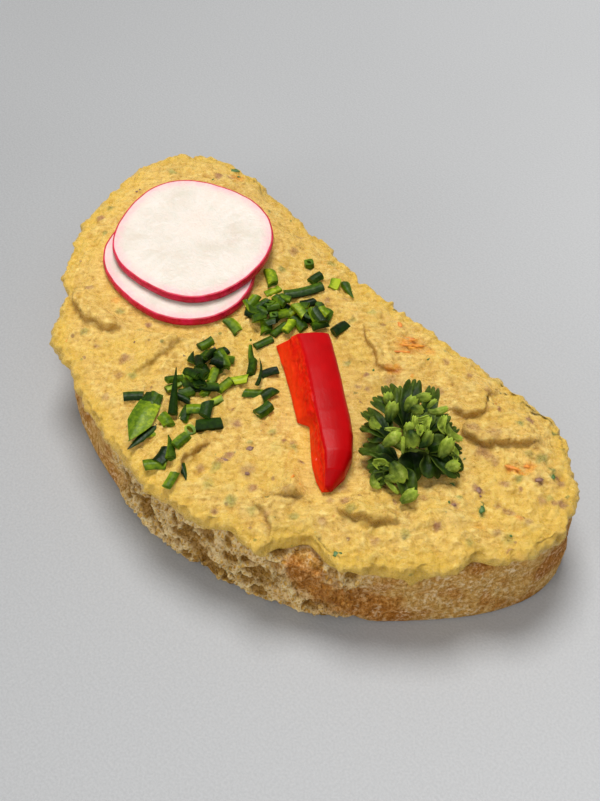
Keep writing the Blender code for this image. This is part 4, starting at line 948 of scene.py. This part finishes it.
def make_radish(name, seat, material):
    """A thin slice whose red skin shows as a band round it."""
    x0, y0, radius, uneven = RADISHES[name]
    around = 220
    bend = [(0.0, 0.0), (0.04, 0.16), (0.13, 0.5), (0.04, 0.84), (0.0, 1.0)]  # the band's bulge and level
    side = smooth_line(bend, 15)
    reach = np.concatenate([np.linspace(0.04, 0.92, 16), np.linspace(0.93, 0.985, 8)])
    reach = np.concatenate([reach, 0.992 + side[:, 0] * 0.06, reach[::-1]])
    level = np.concatenate([np.full(24, 0.0), side[:, 1], np.full(24, 1.0)])
    angle = np.arange(around) * math.tau / around
    wobble = sum(share * np.sin(times * angle + phase) for times, share, phase in uneven)
    ripple = 0.0014 * np.sin(17 * angle + 1.0) + 0.001 * np.sin(29 * angle)
    radial = radius * reach[:, None] * (1.0 + wobble + ripple)
    x, y = x0 + radial * np.cos(angle), y0 + radial * np.sin(angle)
    low_x, low_y, _, _ = RADISHES["radish_lower"]
    thick = RADISH_THICK * (1.0 + 0.06 * noise_at(x, y, 0.0, 9.0))
    z = lean_plane(x, y, low_x, low_y, seat) + level[:, None] * thick
    z = z + level[:, None] * (0.05 * noise_at(x, y, 2.0, 2.6) - 0.10 * (reach[:, None] > 0.97))
    verts = np.stack([x, y, z], axis=-1).reshape(-1, 3)
    band = ease((level - 0.02) / 0.1) * ease((1.02 - level) / 0.1) + (reach > 0.975)
    skin = np.broadcast_to(np.clip(band, 0.0, 1.0)[:, None], x.shape)
    edge = np.broadcast_to(np.clip(reach, 0.0, 1.0)[:, None], x.shape)
    spoke = ease(noise_at(np.cos(angle) * 7.0, np.sin(angle) * 7.0, 0.0, 0.6) * 2.2 - 0.1)
    ray = spoke * (ease((reach - 0.35) / 0.2) * ease((0.93 - reach) / 0.2))[:, None] * RAY_STRENGTH
    return make_piece(f"{name}_slice", verts, capped(len(reach), around), material, [name],
                      {"skin": skin.ravel(), "edge": edge.ravel(), "ray": ray.ravel()})


# The pepper strip

def pepper_material():
    g = Graph("pepper_wall")
    skin, low = g.attribute("skin"), g.attribute("low")
    streak = g.noise(0.9, detail=4.0, rough=0.65, stretch=(-42.0, 3.0))
    cloud = g.noise(5.0, detail=2.0)
    fine = g.noise(0.35, detail=2.0)
    peel = g.ramp(cloud, (0.3, (0.37, 0.0002, 0.0010)), (0.7, (0.47, 0.0004, 0.0018)))
    flesh = g.ramp(streak, (0.3, (0.54, 0.003, 0.0006)), (0.55, (0.67, 0.012, 0.001)),
                   (0.75, (0.80, 0.050, 0.005)))
    flesh = g.mix(g.span(low, 0.2, 0.9, 0.0, 0.55), flesh, (0.72, 0.045, 0.002))
    ragged = g.math("ADD", skin, g.span(streak, 0.35, 0.65, -0.25, 0.25))
    colour = g.mix(g.span(ragged, 0.25, 0.85), flesh, peel)
    # Painted glints: scattered pale pink dots that stand in for tiny highlights on the pepper.
    dots, _ = g.specks(1.9, 0.10, 0.10, soft=0.03)
    colour = g.over(colour, dots, 0.5, (0.85, 0.25, 0.22))
    g.finish(colour, g.span(skin, 0.3, 0.8, 0.42, 0.30), 0.09, 0.12, 1.2, (1.0, 0.2, 0.1))
    g.bump((g.math("MULTIPLY", streak, g.span(skin, 0.2, 0.9, 1.0, 0.15)), 0.22), (fine, 0.02))
    return g.material


def make_pepper():
    stations, around = 150, 96
    section = smooth_line(PEPPER_SECTION, around, closed=True)
    by_flesh, by_ridge, by_skin, up = section.T
    up = np.maximum(up, 0.0)
    share = np.broadcast_to(np.linspace(0.0, 1.0, stations)[:, None], (stations, around))
    _, _, flesh, ridge, skin, height = pepper_section(share)
    wide = by_flesh * flesh + by_ridge * ridge + by_skin * skin
    tall = up * height
    back = PEPPER_SKEW[0] * (wide + flesh) + PEPPER_SKEW[1] * tall
    length = np.linalg.norm(np.diff(smooth_line(PEPPER_LINE, PEPPER_POINTS), axis=0), axis=1).sum()
    middle, side, *_ = pepper_section(share + (1.0 - share) ** 2 * back / length)
    x = middle[..., 0] + side[..., 0] * wide
    y = middle[..., 1] + side[..., 1] * wide
    z = PEPPER_SEAT + CLEARANCE + tall
    cut = (by_skin < 0.05) & (up > 0.05) & (up < 0.95)
    rough = 0.26 * noise_at(x, y, z, 2.4) + 0.20 * noise_at(x, y, z, 0.9)
    wavy = np.where(cut, rough, 0.07 * noise_at(x, y, z, 7.0))
    x = x + side[..., 0] * wavy * np.sign(wide)
    y = y + side[..., 1] * wavy * np.sign(wide)
    z = z + wavy * (up > 0.5)
    verts = np.stack([x, y, z], axis=-1).reshape(-1, 3)
    peel = np.broadcast_to(ease((by_ridge + 1.4 * by_skin - 0.90) / 0.12), x.shape)
    low = np.broadcast_to(ease(1.0 - up / 0.9), x.shape)
    return make_piece("pepper_wall", verts, capped(stations, around), pepper_material(),
                      ["pepper_strip"], {"skin": peel.ravel(), "low": low.ravel()}, sharp=60)


# The chives

def chive_material():
    g = Graph("chive_green")
    tone, inner = g.attribute("tone"), g.attribute("inner")
    stripe = g.noise(0.5, detail=3.0)
    fine = g.noise(0.9, detail=4.0, rough=0.6)
    shade = g.math("ADD", tone, g.span(fine, 0.3, 0.7, -0.12, 0.12))
    colour = g.ramp(shade, (0.0, (0.003, 0.012, 0.001)), (0.30, (0.014, 0.040, 0.0015)),
                    (0.55, (0.054, 0.108, 0.0025)), (0.80, (0.155, 0.235, 0.005)),
                    (1.0, (0.36, 0.44, 0.015)))
    colour = g.over(colour, inner, 0.55, (0.10, 0.20, 0.02))
    g.finish(colour, g.span(stripe, 0.3, 0.7, 0.28, 0.45), 0.12, 0.10, 0.6, (0.4, 1.0, 0.2))
    g.bump((stripe, 0.08))
    return g.material


def faceted(angle, count, turn):
    """The radius of a rounded polygon of girth 2 with this many facets."""
    step = math.tau / count
    flat = math.cos(step / 2) / np.cos((angle + turn) % step - step / 2)
    return 0.75 * flat + 0.25


def chive_tube(heap, draw, x, y, heading, length, girth, tip, level, lift, pitch):
    """A hollow cut of chive. Its heading is None if it stands on a cut end."""
    sides, stations = 18, 9
    flat = draw.uniform(0.42, 0.86)
    slant = draw.uniform(-0.45, 0.45)
    bend = draw.uniform(-0.07, 0.07) * length
    turn = draw.uniform(0.0, math.tau)
    wall = draw.uniform(0.50, 0.78)
    facets = int(draw.integers(4, 7))
    tone = draw.uniform(0.10, 0.86) ** 1.15
    two_tone = draw.uniform(0.08, 0.34)
    share = np.linspace(0.0, 1.0, stations)
    angle = np.arange(sides) * math.tau / sides
    shells, tones = [], []
    for inner in (False, True):
        size = girth / 2 * (1.0 + (tip - 1.0) * share**1.3)
        size = size * (wall if inner else 1.0)
        rib = faceted(angle, facets, turn)
        local_y = size[:, None] * rib * np.cos(angle)
        local_z = size[:, None] * rib * np.sin(angle) * flat * (0.55 if inner else 1.0)
        local_x = (share[:, None] - 0.5) * length + slant * local_y * np.sign(share[:, None] - 0.5)
        local_y = local_y + bend * (4 * (share[:, None] - 0.5) ** 2)
        shells.append(np.stack([local_x, local_y, local_z], axis=-1))
        tones.append(np.broadcast_to(tone + two_tone * np.sin(angle + turn), (stations, sides)))
    points = np.concatenate([shells[0], shells[1][::-1]])
    rows = len(points)
    points = points.reshape(-1, 3)
    faces = [face[::-1] for face in lattice(rows, sides)]
    last = (rows - 1) * sides
    faces += [(last + (k + 1) % sides, last + k, k, (k + 1) % sides) for k in range(sides)]
    inner = np.repeat(np.concatenate([np.zeros(stations), np.ones(stations)]), sides)
    if heading is None:
        points = np.stack([points[:, 1], points[:, 2] / flat, points[:, 0]], axis=1)
        centre = level + length / 2 - CHIVE_SUNK * girth
    else:
        along, up = turned(points[:, 0], points[:, 2], -pitch)
        points = np.column_stack([*turned(along, points[:, 1], -heading), up])
        raised = abs(math.sin(math.radians(pitch))) * length * 0.3
        centre = level + girth / 2 * flat - CHIVE_SUNK * girth * flat + raised
    heap.add(points + (x, y, centre + lift), faces, tone=np.concatenate(tones).ravel(), inner=inner)


def chive_leaf(heap, x, y, heading, length, width, tone, level, lift):
    """A piece of chive that is split open and lies flat, with a blunt end and a point."""
    along, across = sheet_grid(17, 11)
    half = width / 2 * np.minimum(1.0, 1.9 * (1.03 - along) ** 0.85) * (0.92 + 0.12 * np.sin(along * 3.0))
    out = (along - 0.5) * length
    fold = 0.34 * half * np.abs(across) - 0.10 * width * np.sin(along * 5.0)
    out, side = turned(out, half * across, -heading)
    sheet = np.stack([x + out, y + side, level + lift + 0.3 - 0.6 * fold], axis=-1)
    # Painted light and shade: one half of the folded leaf lighter and the other darker, and a little darker
    # towards the point.
    shade = tone + 0.22 * np.sign(across) * np.abs(across) ** 0.3 * 0.5 - 0.1 * along
    thin_solid(heap, sheet, 0.30, tone=np.tile(shade.ravel(), 2), inner=0.0)


def make_chives():
    draw = np.random.default_rng(5)
    cuts = []
    for x, y, heading in CHIVE_CUTS:
        cuts.append((x, y, heading, draw.uniform(*CHIVE_LENGTH), draw.uniform(*CHIVE_GIRTH), 1.0))
    cuts += [(*cut, 1.0) for cut in CHIVE_LONG_CUTS]
    rings = [(x, y, draw.uniform(*CHIVE_GIRTH)) for x, y in CHIVE_RINGS]
    blades = [(*blade, BLADE_TIP) for blade in CHIVE_BLADES]
    look = np.random.default_rng(23)
    for x, y, radius, count in CHIVE_FILL:
        for _ in range(count):
            reach, turn = radius * math.sqrt(look.uniform()), look.uniform(0.0, math.tau)
            place = (x + reach * math.cos(turn), y + reach * math.sin(turn), look.uniform(0.0, 180.0))
            cuts.append((*place, look.uniform(*CHIVE_FILL_LENGTH), look.uniform(*CHIVE_FILL_GIRTH), 1.0))
    pieces = cuts + rings + blades + CHIVE_LEAVES
    level = spread_surface(*np.array([piece[:2] for piece in pieces]).T)[0]
    material = chive_material()
    placed = []
    parts = {"chive_cuts": cuts, "chive_rings": rings, "chive_blades": blades}
    order = 0
    for name, group in parts.items():
        heap = Heap("tone", "inner")
        for cut in group:
            x, y = cut[:2]
            under = sum(1 for other in placed if math.hypot(x - other[0], y - other[1]) < 2.0)
            placed.append((x, y))
            lift = min(under, 2) * 0.7
            pitch = look.uniform(-CHIVE_PITCH, CHIVE_PITCH) if under else 0.0
            if name == "chive_rings":
                cut = (x, y, None, CHIVE_RING_HEIGHT * cut[2], cut[2], 1.0)
                lift *= 0.6
            chive_tube(heap, look, *cut, level[order], lift, pitch)
            order += 1
        if name == "chive_blades":
            for leaf, height in zip(CHIVE_LEAVES, level[order:]):
                chive_leaf(heap, *leaf[:6], height, leaf[6])
        heap.piece(name, material, "parsley", sharp=38)


# The parsley

def parsley_material():
    g = Graph("parsley_leaf")
    pale, rim = g.attribute("pale"), g.attribute("rim")
    vein = g.noise(0.9, detail=4.0, rough=0.6)
    fine = g.noise(0.35, detail=2.0)
    dark = g.ramp(vein, (0.3, (0.003, 0.011, 0.0004)), (0.55, (0.011, 0.033, 0.0008)),
                  (0.75, (0.036, 0.085, 0.003)))
    light = g.ramp(vein, (0.3, (0.13, 0.20, 0.012)), (0.55, (0.31, 0.39, 0.040)), (0.75, (0.60, 0.64, 0.15)))
    # Painted shade: the lowest tones, on leaf roots and on the broad leaves deep in the sprig, go near
    # black.
    dark = g.mix(g.span(pale, -0.35, 0.12, 0.95, 0.0), dark, (0.002, 0.007, 0.0004))
    colour = g.mix(pale, dark, light)
    colour = g.over(colour, rim, g.span(pale, 0.0, 0.6, 0.10, 0.55), (0.38, 0.50, 0.05))
    g.finish(colour, 0.42, 0.10, 0.12, 0.6, (0.4, 1.0, 0.2))
    g.bump((vein, 0.12), (fine, 0.04))
    return g.material


def thin_solid(heap, sheet, thick, **values):
    """Adds a sheet, a grid of points, as a thin closed solid whose rim is finer."""
    rows, columns = sheet.shape[:2]
    down_sheet, over_sheet = np.gradient(sheet, axis=0), np.gradient(sheet, axis=1)
    normal = np.cross(down_sheet, over_sheet)
    normal /= np.maximum(np.linalg.norm(normal, axis=-1, keepdims=True), 1e-9)
    along, across = sheet_grid(rows, columns)
    taper = (1.0 - 0.6 * np.maximum(np.abs(across), along) ** 4)[..., None]
    top, bottom = sheet + normal * thick / 2 * taper, sheet - normal * thick / 2 * taper
    count = rows * columns
    faces = lattice(rows, columns, closed=False)
    faces += [face[::-1] for face in lattice(rows, columns, count, closed=False)]
    loop = [k for k in range(columns)] + [r * columns + columns - 1 for r in range(1, rows)]
    loop += [(rows - 1) * columns + k for k in range(columns - 2, -1, -1)]
    loop += [r * columns for r in range(rows - 2, 0, -1)]
    faces += [(a, b, b + count, a + count) for a, b in zip(loop[1:] + loop[:1], loop)]
    heap.add(np.concatenate([top.reshape(-1, 3), bottom.reshape(-1, 3)]), faces, **values)


def leaf(heap, root, tip, width, pale, wave):
    """A wedge of leaf from its root to a broad end with three blunt teeth."""
    along, across = sheet_grid(19, 19)
    run = tip - root
    length = np.linalg.norm(run)
    run = run / length
    side = np.cross((0.0, 0.0, 1.0), run)
    side /= np.linalg.norm(side)
    over = np.cross(run, side)
    half = width / 2 * (0.30 + 0.70 * ease(along / 0.5)) * (1.0 - 0.10 * ease((along - 0.85) / 0.15))
    teeth = 0.10 * np.abs(np.cos(1.5 * math.pi * across)) ** 0.7 - 0.10 * across**2
    reach = along * (0.92 + teeth * along**3)
    rise = 0.16 * length * np.sin(math.pi * along * 0.9) + 0.30 * half * across**2
    rise = rise - 0.10 * width * bell(across, 0.14) * along
    rise = rise + 0.09 * width * np.sin(across * 4.0 + along * 5.0 + wave) * along
    parts = ((length * reach, run), (half * across, side), (rise, over))
    sheet = root + sum(part[..., None] * axis for part, axis in parts)
    rim = np.maximum(np.abs(across), along).ravel() ** 8
    # A paler midrib, and painted shade that darkens the leaf towards its root.
    vein = 0.10 * bell(across, 0.10) - 0.34 * (1.0 - ease(along / 0.7))
    shade = np.concatenate([(0.7 * pale + vein).ravel(), np.full(along.size, 0.20)])
    thin_solid(heap, sheet, LEAF_SHEET, pale=shade, rim=np.tile(rim, 2))


def pod(heap, place, length, width, turn, pale, bend):
    """A curled leaflet with a pointed root, a creased back and a toothed end. The palest ones lie open."""
    along, across = sheet_grid(15, 17)
    turn = math.radians(turn)
    run = SIDEWAYS * math.cos(turn) + UPWARDS * math.sin(turn)
    side = np.cross(TOWARDS, run)
    girth = 0.22 + 0.78 * np.sin(math.pi * np.minimum(along * 0.60 + 0.04, 0.5))
    girth = girth * (1.0 - 0.30 * ease((along - 0.72) / 0.28))
    half = width / 2 * girth
    open_side = -0.8 if pale > POD_OPEN else 1.0
    curl = across * (1.95 if pale <= POD_OPEN else 1.5)
    teeth = 0.16 * np.abs(np.cos(1.5 * math.pi * across)) * along**4
    crease = 0.20 * bell(across, 0.15) * half
    local_x = (along - 0.5 + teeth - 0.10 * across**2 * along) * length
    local_y = half * np.sin(curl) * 1.05 + bend * 0.55 * length * ((2 * along - 1) ** 2 - 0.4)
    local_z = open_side * (half * np.cos(curl) * 2 * POD_THICK - crease)
    parts = ((local_x, run), (local_y, side), (local_z, TOWARDS))
    sheet = place + sum(part[..., None] * axis for part, axis in parts)
    rim = np.maximum(np.abs(across), along).ravel() ** 6
    # Painted shade: darker towards the root and along the middle crease.
    tone = 0.9 * pale + 0.75 * (along - 0.55) - 0.14 * bell(across, 0.13) + 0.06 * np.sin(across * 9.0)
    shade = np.concatenate([np.clip(tone, 0.0, 1.0).ravel(), np.full(along.size, 0.30)])
    thin_solid(heap, sheet, POD_SHEET, pale=shade, rim=np.tile(rim, 2))


def stalk(heap, start, end, radius, pale):
    sides = 9
    run = end - start
    across = np.cross(run, (0.0, 0.0, 1.0))
    if np.linalg.norm(across) < 1e-6:
        across = np.array([1.0, 0.0, 0.0])
    across /= np.linalg.norm(across)
    over = np.cross(run, across)
    over /= np.linalg.norm(over)
    angle = np.arange(sides) * math.tau / sides
    rings = []
    for share in np.linspace(0.0, 1.0, 6):
        sag = -0.25 * math.sin(share * math.pi)
        size = radius * (1.0 - 0.3 * share)
        centre = start + run * share + np.array([0.0, 0.0, sag])
        rings.append(centre + size * (np.cos(angle)[:, None] * across + np.sin(angle)[:, None] * over))
    faces = [face[::-1] for face in capped(len(rings), sides)]
    heap.add(np.concatenate(rings), faces, pale=pale, rim=0.0)


def make_parsley():
    heap = Heap("pale", "rim")
    forks = np.array([fork[:3] for fork in FORKS])
    for number, fork in enumerate(FORKS[1:], start=1):
        start = forks[fork[3]]
        radius = STALK_RADIUS if number > 1 else FOOT_RADIUS
        stalk(heap, start, forks[number] + STALK_PAST * (forks[number] - start), radius, 0.3)
    for number, (fork, x, y, z, width, pale) in enumerate(LEAVES):
        leaf(heap, forks[fork], np.array([x, y, z]), width, pale, 2.4 * number)
    for pixel_x, pixel_y, z, length, width, turn, pale, bend in PODS:
        place = np.array([*seen_at(pixel_x, pixel_y, z), z])
        nearest = np.linalg.norm(forks[1:] - place, axis=1).argmin() + 1
        stalk(heap, forks[nearest], place, POD_STALK_RADIUS, 0.4)
        pod(heap, place, length, width, turn, pale, bend)
    heap.piece("parsley_sprig", parsley_material(), "parsley", ["parsley"])


# Bits of herb and vegetable in the spread

def bit_material(name, low, high):
    g = Graph(name)
    colour = g.ramp(g.noise(0.7, detail=4.0), (0.3, low), (0.7, high))
    g.set(Base_Color=colour, Roughness=0.45, Specular_IOR_Level=0.35)
    g.bump((g.noise(0.4, detail=2.0), 0.08))
    return g.material


def bit_shape(heap, draw, x, y, level, length, width, heading, high=0.30):
    """An uneven flake, all but sunk in the paste."""
    around, rows = 14, 7
    angle = np.arange(around) * math.tau / around
    lat = np.linspace(-0.5, 0.5, rows) * math.pi * 0.96
    jag = 1.0 + draw.uniform(-0.30, 0.30, around)
    flat = np.cos(lat)[:, None] * jag
    local_x = length / 2 * flat * np.cos(angle)
    local_y = width / 2 * flat * np.sin(angle)
    tilt = draw.uniform(-0.15, 0.15)  # how far it rises for each mm along it
    z = level + 0.02 + high / 2 * np.sin(lat)[:, None] + tilt * local_x
    along, across = turned(local_x, local_y, -heading)
    points = np.stack([x + along, y + across, z], axis=-1)
    heap.add(points.reshape(-1, 3), capped(rows, around))


def make_bits():
    draw = np.random.default_rng(31)
    groups = {
        "herb_bits": (GREEN_BITS, 16, (0.018, 0.075, 0.010), (0.09, 0.19, 0.03), "parsley"),
        "seed_bits": (BROWN_BITS, 20, (0.13, 0.055, 0.035), (0.30, 0.16, 0.10), "spread"),
        "pepper_bits": (ORANGE_BITS, 6, (0.62, 0.17, 0.02), (0.80, 0.34, 0.03), "pepper"),
    }
    for name, (known, extra, low, high, slot) in groups.items():
        rows = list(known)
        while len(rows) < len(known) + extra:
            x, y = (draw.uniform(*reach) for reach in BIT_AREA)
            rows.append((x, y, draw.uniform(0.4, 0.9), draw.uniform(0.3, 0.55), draw.uniform(0, 180)))
        x, y = np.array([row[:2] for row in rows]).T
        level, _, _, pressed, *_ = spread_surface(x, y)
        ring = smooth_line(SLICE_EDGE, 200, closed=True)
        gap = np.hypot(x[:, None] - ring[:, 0], y[:, None] - ring[:, 1]).min(axis=1)
        heap = Heap()
        for number, row in enumerate(rows):
            free = pressed[number] <= BIT_PRESSED and gap[number] >= BIT_FROM_EDGE and inside(ring, *row[:2])
            if number < len(known) or free:
                bit_shape(heap, draw, row[0], row[1], level[number], *row[2:])
        if name == "pepper_bits":
            add_shreds(heap, draw)
        heap.piece(name, bit_material(name, low, high), slot)


def add_shreds(heap, draw):
    """Shredded pepper that lies open in the spread, as strands side by side."""
    spots = []
    for across in np.linspace(-1.9, 1.9, 6):
        spots.append(turned(draw.uniform(-1.6, 1.6), across + draw.uniform(-0.2, 0.2), -SHRED_HEADING))
    x, y = (np.array(PEPPER_SHRED) + spots).T
    for place in zip(x, y, spread_surface(x, y)[0]):
        length, width = draw.uniform(2.2, 3.6), draw.uniform(0.4, 0.6)
        bit_shape(heap, draw, *place, length, width, SHRED_HEADING + draw.uniform(-9, 9), high=0.4)


def inside(ring, x, y):
    """Whether a point lies inside a closed ring."""
    nearest = np.hypot(ring[:, 0] - x, ring[:, 1] - y).argmin()
    normal = outward(ring)[nearest]
    return (x - ring[nearest, 0]) * normal[0] + (y - ring[nearest, 1]) * normal[1] < 0


# The stage

FLOOR_SIZE = 4.0  # in m, like the lights' sizes and places
FLOOR_DROP = 0.0002  # how far it lies below the slice
FLOOR_PAINTED_LIGHT = (0.90, 0.43, 0.0)  # the way in which painted light makes the floor brighter
FLOOR_TINGE = (1.0, 1.008, 1.016)
LIGHTS = [  # name, diameter, power in W, and place
    ("key", 0.45, 9.1, (-0.27, 0.20, 0.94)),
    ("fill", 0.9, 2.4, (0.6, -0.5, 0.8)),
    ("front", 0.5, 2.9, (-0.1, -1.0, 0.34)),
]
LIGHT_TARGET = Vector((0.0, 0.0, 0.015))
WORLD_STRENGTH = 0.34


def make_stage():
    g = Graph("studio_floor")
    tint = g.noise(140.0, detail=2.0)
    grain = g.noise(0.45, detail=2.0)
    across = g.node("ShaderNodeVectorMath", operation="DOT_PRODUCT")
    g.put(across.inputs[0], g.place)
    across.inputs[1].default_value = FLOOR_PAINTED_LIGHT
    # Painted light: the floor's grey grows brighter that way, with a little random tone and grain.
    level = g.math("ADD", g.span(across.outputs["Value"], -150.0, 150.0, -0.078, 0.088),
                   g.span(tint, 0.3, 0.7, 0.385, 0.403))
    level = g.math("ADD", level, g.span(grain, 0.25, 0.75, -0.022, 0.022))
    colour = g.node("ShaderNodeCombineColor")
    for channel, tinge in enumerate(FLOOR_TINGE):
        g.put(colour.inputs[channel], g.math("MULTIPLY", level, tinge))
    g.set(Base_Color=colour.outputs[0], Roughness=0.75, Specular_IOR_Level=0.2)
    g.bump((grain, 0.05))
    bpy.ops.mesh.primitive_plane_add(size=FLOOR_SIZE, location=(0.0, 0.0, -FLOOR_DROP))
    floor = bpy.context.object
    floor.name = "studio_floor"
    floor.data.materials.append(g.material)


def make_light(name, size, power, place):
    light = bpy.data.lights.new(name, "AREA")
    light.shape = "DISK"
    light.size = size
    light.energy = power
    item = bpy.data.objects.new(name, light)
    item.location = place
    item.rotation_euler = (Vector(place) - LIGHT_TARGET).to_track_quat("Z", "Y").to_euler()
    bpy.context.scene.collection.objects.link(item)


def make_lights():
    world = bpy.data.worlds.new("studio")
    world.use_nodes = True
    background = world.node_tree.nodes["Background"]
    background.inputs["Color"].default_value = (1.0, 1.0, 1.0, 1.0)
    background.inputs["Strength"].default_value = WORLD_STRENGTH
    bpy.context.scene.world = world
    for light in LIGHTS:
        make_light(*light)


def make_camera():
    data = bpy.data.cameras.new("camera")
    data.lens = CAMERA_LENS
    data.sensor_width = CAMERA_SENSOR
    data.clip_start = 0.01
    camera = bpy.data.objects.new("camera", data)
    camera.location = CAMERA_PLACE
    camera.rotation_euler = VIEW.to_euler()
    bpy.context.scene.collection.objects.link(camera)
    bpy.context.scene.camera = camera


make_camera()
make_stage()
make_lights()
make_bread()
make_spread()
radish = radish_material()
make_radish("radish_lower", RADISH_SEAT + CLEARANCE, radish)
make_radish("radish_upper", RADISH_SEAT + 2 * CLEARANCE + RADISH_THICK, radish)
make_pepper()
make_chives()
make_parsley()
make_bits()

scene = bpy.context.scene
scene.view_settings.view_transform = "Standard"
scene.view_settings.look = "None"
